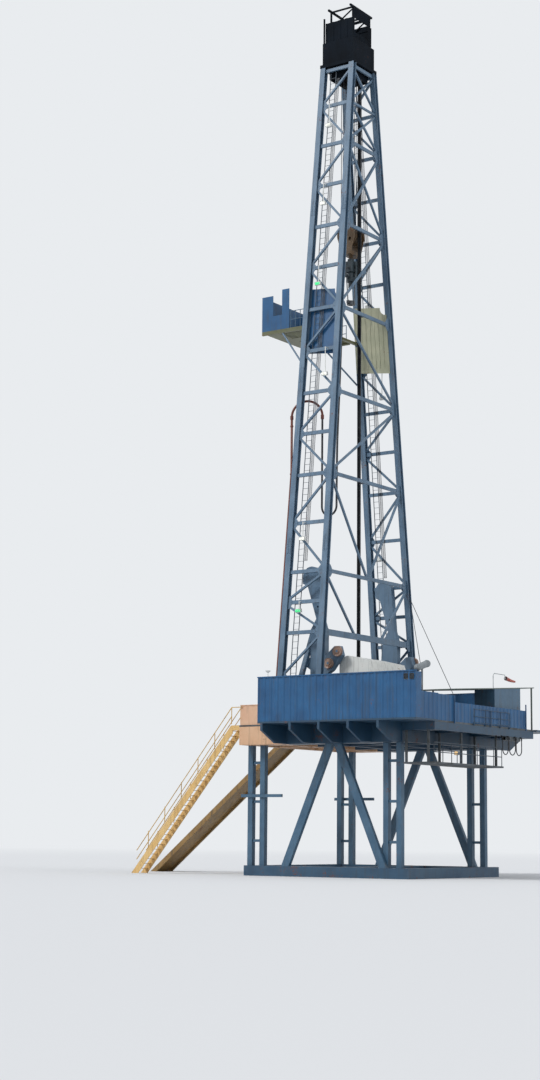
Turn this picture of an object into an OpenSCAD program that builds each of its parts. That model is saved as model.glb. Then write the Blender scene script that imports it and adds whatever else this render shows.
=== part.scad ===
// Land oil drilling rig, modelled at 1:10. All sizes are millimetres of the model.
// The origin is the well centre on top of the drill floor. +Z is up, -X is the side of
// the pipe ramp and +X is the side of the drawworks.

/* [Substructure] */
// Height of the drill floor above the ground
floor_height = 900; // [700:10:1050]
// Floor edge on the ramp side, measured from the well
floor_front = 405; // [395:5:440]
// Floor edge on the drawworks side, measured from the well
floor_back = 960; // [950:5:1000]
// Half width of the floor
floor_half = 610; // [608:2:640]
// Thickness of the floor plates
deck_t = 10; // [6:1:14]
// Depth of the floor beams
beam_h = 110; // [80:5:140]
// Depth of the beams at the drawworks end
rear_beam_h = 45; // [30:5:60]
// Half distance between the two post frames
frame_y = 500; // [480:5:515]
// First post on the ramp side, measured from the well
front_post = 385; // [375:5:390]
// First post on the drawworks side, measured from the well
rear_post = 578; // [570:2:590]
// Distance between the two posts of a pair
post_gap = 89; // [80:1:100]
// Foot of the slanting legs on the ramp side, measured from the well
slant_foot = 107; // [90:1:130]
// Middle between the two slanting legs' heads
slant_head = 233; // [220:1:245]
// Width of the floor beams
beam_w = 30; // [20:2:40]
// Height of the box skids on the ground
skid = 60; // [40:5:80]
// Side of the square posts
post = 34; // [24:2:40]
// Width of the big slanting legs
slant_w = 48; // [36:2:60]
// Side of the square cut for the rotary table
rotary_cut = 160; // [150:5:200]

/* [Mast] */
// Height from the floor to the underside of the crown
mast_h = 4300; // [4100:50:4500]
// Distance from the floor's edge in to the line of the legs
mast_inset = 29; // [28:1:36]
// Half width between the legs at the crown
mast_half_top = 125; // [118:1:140]
// Ramp side legs at the floor, measured from the well
front_low = 141; // [130:1:150]
// Ramp side legs at the crown
front_top = 131; // [125:1:140]
// Drawworks side legs at the floor
back_low = 141; // [135:1:150]
// Drawworks side legs at the crown
back_top = 87; // [84:1:100]
// Side of the leg sections
leg = 36; // [28:2:40]
// Plate thickness of the leg sections
leg_t = 6; // [4:1:8]
// Width of the cross girts
girt = 22; // [14:1:26]
// Width of the diagonals
diag = 13; // [8:1:16]
// Depth of the braces, square to their panel
brace_t = 12; // [8:1:16]
// Height of the mast shoes
shoe_h = 40; // [30:2:60]
// Number of ladder steps
rungs = 110; // [90:5:140]

/* [Racking board] */
// Height of the board above the floor
board_z = 2555; // [2500:5:2600]
// Outer end of the board, measured from the well
board_end = 520; // [500:5:560]
// Half width of the board
board_half = 250; // [220:5:270]
// Height of the wind walls of the board
board_wall_h = 230; // [200:5:260]
// Clear width between the racking fingers
finger_gap = 14; // [11:1:18]
// Number of racking fingers on each side
fingers = 7; // [5:1:8]
// Lower edge of the mast's wind walls above the floor
wind_low = 2350; // [2300:10:2400]
// Upper edge of the mast's wind walls above the floor
wind_high = 2780; // [2720:10:2800]

/* [Crown] */
// Height of the crown's lower walls
crown_low_h = 150; // [120:5:180]
// Height of the crown's upper walls
crown_wall_h = 145; // [120:5:180]
// Height of the gallows above the walls
gallows_h = 85; // [60:5:110]
// Diameter of the crown sheaves
sheave_d = 110; // [100:2:116]

/* [Hoist] */
// Top of the travelling block above the floor
block_top = 3240; // [3200:5:3300]
// Length of the links below the top drive
link_len = 165; // [140:5:200]
// Width of the guide rail
rail_w = 26; // [20:1:30]
// Bore of the rotary table
rotary_bore = 70; // [50:1:90]

/* [Wind walls] */
// Width of the side decks
side_d = 250; // [220:5:270]
// Height of the side wind walls
wall_h = 257; // [230:1:280]
// End of the side decks on the ramp side
side_x0 = -95; // [-110:5:-80]
// End of the side decks on the drawworks side
side_x1 = 985; // [975:5:1000]
// Depth of the ribbed sheet of the walls
wall = 6; // [5:1:8]
// Width of the walls' short returns
wall_return = 60; // [45:5:80]
// Distance between the ribs of the sheet
rib_pitch = 44; // [36:2:60]
// Height of the low wall at the drawworks end
low_wall_h = 150; // [130:5:160]
// Height of the fence at the drawworks end
fence_h = 112; // [100:2:120]

/* [Access] */
// Height of the handrails
rail_h = 110; // [100:1:120]
// Diameter of the handrail tubes
tube_d = 5; // [4:0.5:7]
// Width of the stair
stair_w = 90; // [80:2:100]
// Number of treads
treads = 29; // [26:1:32]
// Slope of the stair in degrees
stair_slope = 50; // [45:1:52]
// Width of the pipe ramp
ramp_w = 150; // [130:5:180]
// Slope of the pipe ramp in degrees
ramp_slope = 39; // [36:1:42]
// Length of the landing at the head of the stair
landing = 50; // [40:5:80]

/* [Hidden] */
$fn = 24;
// Clearance between pieces that are seated on each other
seat = 0.3;
ground = -floor_height;
under = -deck_t - beam_h;
rear_under = -deck_t - rear_beam_h;
mast_half_low = floor_half - mast_inset;
leg_plane = frame_y + post / 2 + 16;
skid_out = leg_plane + 15;
skid_in = frame_y - post / 2 - 15;
deep_end = rear_post + post_gap + 78;
side_y = floor_half + side_d;
levels = [555, 932, 1545, 2077, 2630, 3189, 3748, mast_h];
lean = atan((mast_half_low - mast_half_top) / mast_h);
back_lean = atan((back_low - back_top) / mast_h);

function front_x(z) = -(front_low + (front_top - front_low) * z / mast_h);
function back_x(z) = back_low + (back_top - back_low) * z / mast_h;
function half_y(z) = mast_half_low + (mast_half_top - mast_half_low) * z / mast_h;
function mid_level(i) = (levels[i] + (i == 0 ? 0 : levels[i - 1])) / 2;

// A box between two opposite corners
module block(a, b) {
  translate(a) cube(b - a);
}

// Children extruded from p up to q
module run_between(p, q) {
  d = q - p;
  translate(p)
    rotate([-atan2(d.y, norm([d.x, d.z])), atan2(d.x, d.z), 0])
      linear_extrude(norm(d)) children();
}

// A round bar from p up to q
module bar(p, q, d, sides = 24) {
  run_between(p, q) circle(d = d, $fn = sides);
}

// Children and their mirror image on the other side of the rig
module both_sides() {
  children();
  mirror([0, 1, 0]) children();
}

// A strip of width w from p to q in a panel's own plane
module strip(p, q, w) {
  d = q - p;
  translate(p) rotate(atan2(d.y, d.x)) translate([-w, -w / 2]) square([norm(d) + 2 * w, w]);
}

module base_skids() color("#2b4a63") {
  both_sides() block([-floor_front, -skid_out, ground], [deep_end, -skid_in, ground + skid]);
  for (x = [-floor_front + 25, slant_head, deep_end - 25])
    block([x - 25, -skid_in + seat, ground], [x + 25, skid_in - seat, ground + skid]);
}

module post_frame() {
  for (x = [-front_post, -front_post + post_gap, rear_post, rear_post + post_gap])
    block([x - post / 2, -frame_y - post / 2, ground + skid + seat], [x + post / 2, -frame_y + post / 2, under - seat]);
  for (x = [-front_post, rear_post], level = [0.24, 0.5, 0.76])
    block([x + post / 2 + seat, -frame_y - 8, -floor_height * level - 16],
      [x + post_gap - post / 2 - seat, -frame_y + 8, -floor_height * level]);
  // Girder in front of the ramp side's posts
  block([-front_post - 60, -frame_y - post / 2 - seat - 12, -floor_height * 0.46 - 18],
    [-front_post + 240, -frame_y - post / 2 - seat, -floor_height * 0.46]);
}

module post_frame_near() color("#2f5068") post_frame();
module post_frame_far() color("#2f5068") mirror([0, 1, 0]) post_frame();

// Two pairs of slanting legs that meet under the floor
module slant_legs() {
  foot = ground + skid + seat;
  intersection() {
    for (side = [-1, 1]) {
      low = slant_head + side * (slant_head + slant_foot);
      head = slant_head + side * (slant_w / 2 + 5);
      slope = (head - low) / (under - foot);
      run_between([low - 60 * slope, -leg_plane, foot - 60], [head + 60 * slope, -leg_plane, under + 60])
        square([slant_w, 26], center = true);
    }
    block([-400, -leg_plane - 20, foot], [900, -leg_plane + 20, under - seat]);
  }
}

module slant_legs_near() color("#35566b") slant_legs();
module slant_legs_far() color("#35566b") mirror([0, 1, 0]) slant_legs();

module floor_beams() color("#2c4a5e") {
  top = -deck_t - seat;
  both_sides() {
    for (band = [[floor_half, floor_half - beam_w], [skid_out, skid_in], [200 + beam_w, 200]]) {
      block([-floor_front, -band[0], under], [deep_end, -band[1], top]);
      block([deep_end + seat, -band[0], rear_under], [floor_back - beam_w - seat, -band[1], top]);
    }
    for (x = [-floor_front, -160, 120, 420, deep_end - beam_w], gap = [[floor_half - beam_w, skid_out], [skid_in, 200 + beam_w]])
      block([x, -gap[0] + seat, under], [x + beam_w, -gap[1] - seat, top]);
  }
  for (x = [-floor_front, -160, 120, 420, deep_end - beam_w])
    block([x, -200 + seat, under], [x + beam_w, 200 - seat, top]);
  block([floor_back - beam_w, -floor_half, rear_under], [floor_back, floor_half, top]);
}

module floor_plates() color("#4a5560") {
  c = rotary_cut / 2;
  block([-floor_front, -floor_half, -deck_t], [-c - seat, floor_half, 0]);
  block([c + seat, -floor_half, -deck_t], [floor_back, floor_half, 0]);
  both_sides() block([-c, -floor_half, -deck_t], [c, -c, 0]);
}

module rotary_table() color("#5a5d60") {
  difference() {
    union() {
      block([-rotary_cut / 2 + seat, -rotary_cut / 2 + seat, -36], [rotary_cut / 2 - seat, rotary_cut / 2 - seat, -4]);
      translate([0, 0, -4]) cylinder(d = 130, h = 4, $fn = 64);
    }
    translate([0, 0, -40]) cylinder(d = rotary_bore, h = 50, $fn = 64);
  }
}

module rear_platform() color("#3a4a52") {
  near = -floor_half + 4;
  block([deep_end + 5, near, -247], [floor_back - 5, 226, -237]);
  for (x = [deep_end + 20, floor_back - 50], y = [-floor_half + beam_w / 2, -200 - beam_w / 2, 200 + beam_w / 2])
    block([x - 6, y - 6, -237 + seat], [x + 6, y + 6, rear_under - seat]);
  // Cable tray below the far half of the rear beams
  difference() {
    block([floor_back - beam_w, 250, rear_under - seat - 24], [floor_back - 2, 440, rear_under - seat]);
    block([floor_back - beam_w + 2, 249, rear_under - seat - 22], [floor_back - 4, 441, rear_under]);
  }
}

module rail_run(x0, x1, posts) {
  for (i = [0:posts - 1])
    translate([x0 + (x1 - x0) * i / (posts - 1), 0, 0]) cylinder(d = tube_d, h = rail_h, $fn = 8);
  for (z = [rail_h / 2, rail_h])
    translate([x0, 0, z]) rotate([0, 90, 0]) cylinder(d = tube_d, h = x1 - x0, $fn = 8);
}

module rear_platform_rails() color("#8a8f80") {
  translate([floor_back - 12, 0, -237 + seat]) rotate(90) rail_run(-floor_half + 12, 216, 9);
}

module pipe_ramp() color("#7a6a3a") {
  drop = (floor_front - 365) * tan(ramp_slope);
  run = (floor_height - 12 - drop) / tan(ramp_slope);
  for (s = [[-ramp_w / 2, 0, 8], [-ramp_w / 2 - 12 - seat, -12, 30], [ramp_w / 2 + seat, -12, 30]])
    intersection() {
      translate([-floor_front - seat, s[0], -2 - drop])
        rotate([0, -ramp_slope, 0])
          translate([-1600, 0, s[1] - 12]) cube([1700, s[1] == 0 ? ramp_w : 12, s[2]]);
      block([-floor_front - run - 60, -ramp_w, ground], [-floor_front - seat, ramp_w, 0]);
    }
}

// Stair from the floor's near corner down to the ground
stair_top = -floor_front - landing;
rise = floor_height / (treads + 1);
going = rise / tan(stair_slope);
stair_y = -floor_half + 4;

module stair_stringers() color("#c9a27e") {
  for (y = [stair_y - 4, stair_y + stair_w]) {
    block([stair_top, y, -30], [-floor_front - seat, y + 4, 0]);
    intersection() {
      translate([stair_top, y, 0]) rotate([0, -stair_slope, 0]) translate([-1500, 0, -30]) cube([1600, 4, 40]);
      block([stair_top - 900, y - 1, ground], [stair_top - seat, y + 5, 0]);
    }
  }
  block([stair_top, stair_y + seat, -4], [-floor_front - seat, stair_y + stair_w - seat, 0]);
}

module stair_treads() color("#b5a05a") {
  for (i = [1:treads])
    block([stair_top - i * going - 4, stair_y + seat, -i * rise - 3],
      [stair_top - (i - 1) * going - 4, stair_y + stair_w - seat, -i * rise]);
}

module stair_rails() color("#d8c070") {
  low = [stair_top - treads * going, 0, -treads * rise];
  for (y = [stair_y - 2, stair_y + stair_w + 2]) {
    for (i = [0:5:treads])
      translate([stair_top - i * going - 10, y, -i * rise + 8]) cylinder(d = tube_d, h = rail_h - 8, $fn = 8);
    for (h = [rail_h / 2, rail_h])
      bar([low.x, y, low.z + h], [stair_top - 10, y, h], tube_d, 8);
    translate([stair_top - 10, y, rail_h]) rotate([0, 90, 0]) cylinder(d = tube_d, h = 80, $fn = 8);
  }
}

module deck_brackets() color("#24404f") {
  both_sides()
    for (i = [0:4])
      translate([side_x0 + 20 + (deep_end - side_x0 - 40) * i / 4, 0, 0]) rotate([90, 0, 90]) linear_extrude(16)
        polygon([[-floor_half - seat, under], [-floor_half - seat, -deck_t - seat],
          [-side_y, -deck_t - seat], [-side_y, -deck_t - 40], [-floor_half - 110, under]]);
}

module side_decks() color("#30404c") {
  both_sides() block([side_x0, -side_y, -deck_t], [side_x1, -floor_half - seat, 0]);
}

// A sheet of length w along X and height h, with upright ribs on its -Y face
module ribbed_sheet(w, h) {
  n = floor(w / rib_pitch);
  p = w / n;
  linear_extrude(h) polygon(concat([[0, wall], [0, 0]],
    [for (i = [0:n - 1], c = [[0.12, 0], [0.25, wall * 0.6], [0.75, wall * 0.6], [0.88, 0]]) [(i + c[0]) * p, c[1]]],
    [[w, 0], [w, wall]]));
}

// Tall wall on the edge of a side deck, with short returns, a capping and two small windows
module wind_wall(x1, windows) {
  y = -side_y;
  difference() {
    translate([side_x0, y, seat]) ribbed_sheet(x1 - side_x0, wall_h);
    if (windows)
      for (x = [x1 - 66, x1 - 28])
        block([x - 14, y - 1, 213], [x + 14, y + wall + 1, 246]);
  }
  for (x = [side_x0, x1 - wall])
    block([x, y + wall + seat, seat], [x + wall, y + wall_return, wall_h]);
  block([side_x0 - 3, y - 3, wall_h + 2 * seat], [x1 + 3, y + wall + 2, wall_h + 7]);
}

module near_wind_wall() color("#1f5c86") wind_wall(side_x1, true);
module far_wind_wall() color("#1f5c86") mirror([0, 1, 0]) wind_wall(side_x1 - 335, false);

// Solid panels on the floor's edge between the stair and the side decks
module guard_panels() color("#e0b890") {
  both_sides() {
    block([-floor_front + 2, -floor_half + 8, seat], [-front_low - 30, -floor_half + 12, rail_h + 8]);
    block([-floor_front + 2, -floor_half + 5, rail_h + 8 + seat], [-front_low - 30, -floor_half + 15, rail_h + 13]);
  }
}

module floor_rails() color("#7f8a86") {
  both_sides()
    translate([-floor_front + 8, 0, seat]) rotate(90) rail_run(-floor_half + stair_w + 20, -ramp_w / 2 - 20, 6);
}

module rear_fence() color("#25618a") {
  // Low wall from the wind wall's return to the cable anchor
  translate([side_x1, -side_y + wall_return + seat, seat]) rotate(90) ribbed_sheet(side_d - wall_return - 2 * seat, low_wall_h);
  translate([floor_back, -floor_half + seat, seat]) rotate(90) ribbed_sheet(floor_half - 380 - seat, low_wall_h);
  translate([floor_back, -380 + seat, seat]) rotate(90) ribbed_sheet(380 + 505, fence_h);
  for (y = [-388, 505]) block([floor_back + seat, y, -deck_t], [floor_back + 6, y + 6, low_wall_h]);
}

// Sheet cover of the drawworks, with sloping shoulders
module drawworks_cover() color("#c9ccc6") {
  translate([0, 30, 0]) rotate([90, 0, 0]) linear_extrude(415)
    polygon([[172, seat], [425, seat], [425, 250], [380, 380], [230, 415], [172, 400]]);
}

canopy_z = 185;
canopy_y = -390;
canopy_slope = 4.2;

module canopy_place() {
  translate([640, canopy_y, canopy_z]) rotate([canopy_slope, 0, 0]) children();
}

function canopy_top(y) = canopy_z + (y - canopy_y) * tan(canopy_slope) + 6 / cos(canopy_slope);

module rear_cabin() color("#3f6672") {
  difference() {
    block([790, 171, seat], [927, 505, 262]);
    canopy_place() translate([-10, 0, -seat]) cube([310, 1100, 60]);
  }
}

module canopy() color("#6f8484") {
  // The near rear corner is cut off where the tie cable comes down
  canopy_place() linear_extrude(6) polygon([[0, 0], [200, 0], [290, 100], [290, 1080], [0, 1080]]);
  for (p = [[650, -370], [650, -100], [650, 640], [912, 672]])
    translate([p.x, p.y, seat]) cube([8, 8, canopy_z - 2 * seat + (p.y - canopy_y) * tan(canopy_slope)]);
}

module mast_shoes() color("#39576a") {
  both_sides()
    for (x = [-front_low, back_low])
      block([x - 22, -mast_half_low - 28, 0], [x + 22, -mast_half_low + 32, shoe_h - seat]);
}

// Wide flange section of the legs, its flanges square to the rig's side
module leg_section() {
  square([leg_t, leg], center = true);
  for (s = [-1, 1])
    translate([0, s * (leg - leg_t) / 2]) square([leg, leg_t], center = true);
}

module legs() {
  intersection() {
    union() {
      run_between([front_x(0), -half_y(0), 0], [front_x(mast_h + 60), -half_y(mast_h + 60), mast_h + 60]) leg_section();
      run_between([back_x(0), -half_y(0), 0], [back_x(mast_h + 60), -half_y(mast_h + 60), mast_h + 60]) leg_section();
    }
    block([-300, -700, shoe_h], [300, 0, mast_h - seat]);
  }
}

module near_legs() color("#4c6f8a") legs();
module far_legs() color("#4c6f8a") mirror([0, 1, 0]) legs();

// Places a drawing of (x, height) in the leaning plane of the mast's side
module side_plane() {
  translate([0, -mast_half_low, 0]) rotate([90 - lean, 0, 0])
    translate([0, 0, -brace_t / 2]) linear_extrude(brace_t) children();
}

// The clear field between the two legs and two heights
module side_field(z0, z1) {
  e = leg_t / 2 + seat;
  c = cos(lean);
  polygon([[front_x(z0) + e, z0 / c], [back_x(z0) - e, z0 / c], [back_x(z1) - e, z1 / c], [front_x(z1) + e, z1 / c]]);
}

module side_bay(z0, z1, rising) {
  c = cos(lean);
  g = girt / 2;
  side_plane() side_field(z1 - g, z1 + g);
  side_plane() intersection() {
    side_field(z0 + g + seat, z1 - g - seat);
    strip([rising ? front_x(z0) : back_x(z0), (z0 + g) / c], [rising ? back_x(z1) : front_x(z1), (z1 - g) / c], diag);
  }
}

module side_lattice() {
  for (i = [0:len(levels) - 1]) {
    z0 = i == 0 ? shoe_h + 40 : levels[i - 1];
    zm = mid_level(i);
    z1 = levels[i] - (i == len(levels) - 1 ? girt : 0);
    side_bay(z0, zm, false);
    side_bay(zm, z1, true);
  }
}

module near_lattice() color("#47687f") side_lattice();
module far_lattice() color("#47687f") mirror([0, 1, 0]) side_lattice();

// Places a drawing of (y, height) in the leaning plane of the mast's back
module back_plane(t = brace_t) {
  translate([back_low, 0, 0]) rotate([0, -back_lean, 0]) rotate([90, 0, 90])
    translate([0, 0, -t / 2]) linear_extrude(t) children();
}

module back_field(z0, z1) {
  e = leg / 2 / cos(lean) + seat;
  c = cos(back_lean);
  polygon([[-half_y(z0) + e, z0 / c], [half_y(z0) - e, z0 / c], [half_y(z1) - e, z1 / c], [-half_y(z1) + e, z1 / c]]);
}

module back_girt(z, w) {
  back_plane() back_field(z - w / 2, z + w / 2);
}

// One diagonal of the back, from a to b as [y, height]
module back_bar(z0, z1, a, b) {
  back_plane() intersection() {
    back_field(z0 + seat, z1 - seat);
    strip(a, b, diag);
  }
}

// A crossed pair, the second bar broken where it meets the first
module back_cross(z0, z1) {
  back_plane() intersection() {
    back_field(z0 + seat, z1 - seat);
    strip([-half_y(z0), z0], [half_y(z1), z1], diag);
  }
  back_plane() difference() {
    intersection() {
      back_field(z0 + seat, z1 - seat);
      strip([half_y(z0), z0], [-half_y(z1), z1], diag);
    }
    strip([-half_y(z0), z0], [half_y(z1), z1], diag + 2 * seat);
  }
}

module back_lattice() color("#456680") {
  g = girt / 2;
  back_girt(levels[0], girt * 1.7);
  for (i = [1:len(levels) - 2]) back_girt(levels[i], girt);
  back_girt(mast_h - girt, girt);
  mid = (levels[6] + levels[7]) / 2;
  back_girt(mid, diag);
  for (s = [-1, 1]) {
    back_bar(levels[0] + girt * 0.85, levels[1] - g, [s * 160, levels[0] + g], [s * half_y(levels[1]), levels[1] - g]);
    back_bar(levels[1] + g, levels[2] - g, [s * 14, levels[1] + g], [s * half_y(levels[2]), levels[2] - g]);
  }
  back_bar(levels[2] + g, levels[3] - g, [-half_y(levels[2]), levels[2] + g], [half_y(levels[3]), levels[3] - g]);
  back_bar(levels[3] + g, levels[4] - g, [half_y(levels[3]), levels[3] + g], [-half_y(levels[4]), levels[4] - g]);
  back_bar(levels[4] + g, levels[5] - g, [-half_y(levels[4]), levels[4] + g], [half_y(levels[5]), levels[5] - g]);
  back_cross(levels[5] + g, levels[6] - g);
  back_cross(levels[6] + g, mid - diag / 2);
  back_cross(mid + diag / 2, mast_h - girt * 1.5);
}

sheave_seats = [[135, 367], [199, 437]];
inner_seat = [-21, 373];
sheave_w = 20;
frame_face = 400;
frame_back = 440;

// Raising frame: a broad tapering leg with a head, and a strut on the ramp side
module raising_frame() {
  translate([0, -frame_face, 0]) rotate([90, 0, 0]) linear_extrude(frame_back - frame_face) difference() {
    union() {
      polygon([[-3, seat], [105, seat], [105, 300], [150, 325], [222, 415], [205, 470], [170, 470], [105, 415],
        [105, 566], [82, 643], [66, 856], [61, 905], [-61, 905], [-62, 865], [-25, 844], [38, 643],
        [-5, 572], [-4, 410], [-30, 395], [-30, 352], [-3, 335]]);
      translate([0, 905]) circle(r = 61, $fn = 48);
    }
    translate([48, 715]) circle(r = 11, $fn = 3);
    for (z = [90, 190]) translate([51, z]) circle(r = 20, $fn = 32);
  }
  for (p = sheave_seats)
    translate([p.x, -frame_back, p.y]) rotate([90, 0, 0]) cylinder(d = 16 - 2 * seat, h = sheave_w + 1);
  translate([inner_seat.x, -frame_face, inner_seat.y]) rotate([-90, 0, 0]) cylinder(d = 16 - 2 * seat, h = sheave_w + 1);
  // Strut to the foot of the ramp side leg
  intersection() {
    run_between([-110, -541, -55], [12, -407, 616]) square([26, 26], center = true);
    block([-300, -700, seat], [-5 - seat, -300, 560]);
  }
}

// Where the wind walls end, just in front of the braces of the mast's back
function back_edge(z) = back_x(z) - brace_t / 2 / cos(back_lean) - 2;

// Sheet walls inside the near and far faces, with a slot for the board's beam
module mast_wind_walls() color("#2a5f8f") {
  off = leg / 2 + seat;
  c = cos(lean);
  both_sides() translate([0, -mast_half_low, 0]) rotate([90 - lean, 0, 0]) {
    translate([0, 0, -off - 3]) linear_extrude(3) difference() {
      polygon([[-150, wind_low / c], [back_edge(wind_low - 30), (wind_low - 30) / c],
        [back_edge(wind_high - 30), (wind_high - 30) / c], [-150, wind_high / c]]);
      translate([-151, (board_z - 30) / c]) square([36, 34]);
      translate([back_edge(wind_high), (wind_high - 30) / c]) circle(r = 46, $fn = 48);
    }
    for (x = [-96:32:64])
      translate([0, 0, -off - 5 - seat]) linear_extrude(2)
        translate([x - 5, (wind_low + 12) / c]) square([10, (wind_high - wind_low - 90) / c]);
  }
}

module raising_frame_near() color("#3f6172") raising_frame();
module raising_frame_far() color("#3f6172") mirror([0, 1, 0]) raising_frame();

// Grooved sheaves on the ears of the raising frames
module raising_sheave() {
  r = 31;
  rotate([90, 0, 0]) rotate_extrude($fn = 48)
    polygon([[8, 0], [14, 0], [14, 3], [r - 8, 3], [r, 0], [r, 4], [r - 5, 9], [r, 14], [r, 18], [r - 8, 15],
      [14, 15], [14, sheave_w], [8, sheave_w]]);
}

module raising_sheaves() color("#6d4a3f") {
  both_sides() {
    for (p = sheave_seats) translate([p.x, -frame_back - seat, p.y]) raising_sheave();
    translate([inner_seat.x, -frame_face + seat + sheave_w, inner_seat.y]) raising_sheave();
  }
}

module ladder() {
  off = (brace_t / 2 + 2.5 + seat) / cos(lean);
  low = [-60, -half_y(40) + off, 40];
  top = [-60, -half_y(mast_h - 40) + off, mast_h - 40];
  for (s = [-1, 1])
    run_between(low + [s * 20, 0, 0], top + [s * 20, 0, 0]) square([3, 5], center = true);
  for (i = [1:rungs - 1]) {
    p = low + (top - low) * i / rungs;
    translate(p - [20, 1, 1]) cube([40, 2, 2]);
  }
}

module ladders() color("#7c94a8") {
  both_sides() ladder();
}

board_mid = 40;
board_plate = 95;

module racking_board() color("#6f7448") {
  z = board_z - 8;
  inner = -front_low + 12;
  linear_z(z, board_z) polygon([[-board_end, -board_half], [-board_end + board_plate, -board_half], [-board_end + board_plate, -board_mid],
    [inner, -board_mid], [inner, board_mid], [-board_end + board_plate, board_mid], [-board_end + board_plate, board_half], [-board_end, board_half]]);
  for (y = [-board_half, board_half - 22])
    block([-board_end + board_plate + seat, y, z], [-front_low - 22, y + 22, board_z]);
  for (y = [-board_half, board_half - 12])
    block([-board_end, y, board_z - 24], [-front_low - 22, y + 12, z - seat]);
  // Beam from leg to leg that carries the board's inner end
  e = half_y(z) - leg / 2 / cos(lean) - seat;
  block([front_x(board_z) - 12, -e, board_z - 24], [front_x(board_z) + 8, e, z - seat]);
}

// Children extruded from height a up to b
module linear_z(a, b) {
  translate([0, 0, a]) linear_extrude(b - a) children();
}

// Finger beams that hold the racked pipe apart, fixed at their outer ends
module racking_fingers() color("#7a7f52") {
  first = board_mid + finger_gap;
  room = board_half - 22 - first;
  both_sides()
    for (i = [0:fingers - 1])
      block([-board_end + board_plate + seat, -first - room * (i + 1) / fingers + finger_gap, board_z - 8],
        [-front_low - 35, -first - room * i / fingers, board_z]);
}

module racking_rails() color("#5d7a92") {
  both_sides()
    translate([0, -board_half + 5, board_z + seat]) rail_run(-300, -190, 4);
}

module racking_walls() color("#2d6796") {
  low = board_z + seat;
  both_sides() {
    block([-board_end, -board_half, low], [-board_end + 85, -board_half + 3, board_z + board_wall_h]);
    block([-board_end + 85 + seat, -board_half, low], [-365 - seat, -board_half + 3, board_z + 95]);
    block([-365, -board_half, low], [-310, -board_half + 3, board_z + board_wall_h + 32]);
  }
  block([-board_end, -board_half + 3 + seat, low], [-board_end + 3, board_half - 3 - seat, board_z + board_wall_h]);
}

module board_struts() color("#47687f") {
  z = 2270;
  both_sides()
    bar([front_x(z) - 14, -half_y(z) + leg / 2 + 6.3, z], [-360, -board_half + 6, board_z - 24 - 4.1], 12, 8);
}

crown_axle_z = mast_h + 100;
crown_x0 = -front_top - 9;
crown_x1 = back_top + 5;
crown_y = mast_half_top + 7;
crown_top = mast_h + 22 + crown_low_h + crown_wall_h;

// A ring of four walls, t thick, between two opposite corners
module wall_ring(x0, x1, y, t, z0, z1) {
  difference() {
    block([x0, -y, z0], [x1, y, z1]);
    block([x0 + t, -y + t, z0 - 1], [x1 - t, y - t, z1 + 1]);
  }
}

module crown_frame() color("#20303f") {
  difference() {
    block([crown_x0 - 12, -crown_y - 12, mast_h], [crown_x1 + 12, crown_y + 12, mast_h + 22]);
    block([-80, -49, mast_h - 1], [80, 49, mast_h + 30]);
  }
  // Deep plates between the legs
  wall_ring(-front_top + leg / 2 + 4, back_top - leg / 2 - 4, mast_half_top - leg / 2 - 12, 6, mast_h - 72, mast_h - seat);
  for (y = [-62, 52])
    difference() {
      block([-24, y, mast_h + 22], [24, y + 10, crown_axle_z + 20]);
      translate([0, y - 1, crown_axle_z]) rotate([-90, 0, 0]) cylinder(d = 24 + 2 * seat, h = 12);
    }
}

module crown_walls() color("#1b2733") {
  z = mast_h + 22 + seat;
  mid = z + crown_low_h;
  wall_ring(crown_x0, crown_x1, crown_y, 4, z, mid);
  both_sides() {
    translate([crown_x0 + 10, -crown_y + 18, mid + seat]) ribbed_sheet(crown_x1 - crown_x0 - 20, crown_wall_h - seat);
    block([crown_x0 + 1, -crown_y + 6, mid + seat], [crown_x0 + 9.6, -crown_y + 15, crown_top + 30]);
  }
  // Shelf that carries the set-in upper walls
  both_sides() block([crown_x0 + 4 + seat, -crown_y + 4 + seat, mid - 8], [crown_x1 - 4 - seat, -crown_y + 28, mid]);
}

// Two cross beams on posts over the sheaves, joined by two rails
module crown_gallows() color("#22303d") {
  z = mast_h + 22 + seat;
  top = crown_top + gallows_h;
  y = crown_y - 34;
  for (x = [crown_x0 + 44, crown_x1 - 20]) {
    both_sides() block([x - 5, -y - 5, z], [x + 5, -y + 5, top - 12 - seat]);
    block([x - 6, -crown_y, top - 12], [x + 6, crown_y, top]);
  }
  for (v = [-y, y - 10])
    block([crown_x0 + 50 + seat, v, top - 12], [crown_x1 - 26 - seat, v + 10, top - 3]);
  both_sides() rotate([90, 0, 0]) translate([0, 0, y - 4]) linear_extrude(6)
    intersection() {
      strip([crown_x0 + 44, crown_top - 40], [crown_x1 - 20, top - 20], 8);
      translate([crown_x0 + 49 + seat, crown_top - 60]) square([crown_x1 - crown_x0 - 74 - 2 * seat, 150]);
    }
}

// Five grooved sheaves and their axle, turned from one profile
module crown_sheaves() color("#3a3f45") {
  r = sheave_d / 2;
  translate([0, 0, crown_axle_z]) rotate([90, 0, 0]) rotate_extrude($fn = 64)
    polygon(concat([[0, -64], [12, -64], [12, -50]],
      [for (i = [-2:2], p = [[20, -10], [20, -8], [r, -8], [r, -6], [r - 7, -2], [r - 7, 2], [r, 6], [r, 8], [20, 8], [20, 10]])
        [p[0], i * 20 + p[1]]],
      [[12, 50], [12, 64], [0, 64]]));
}

rail_x = sheave_d / 2 + 4;

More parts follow.
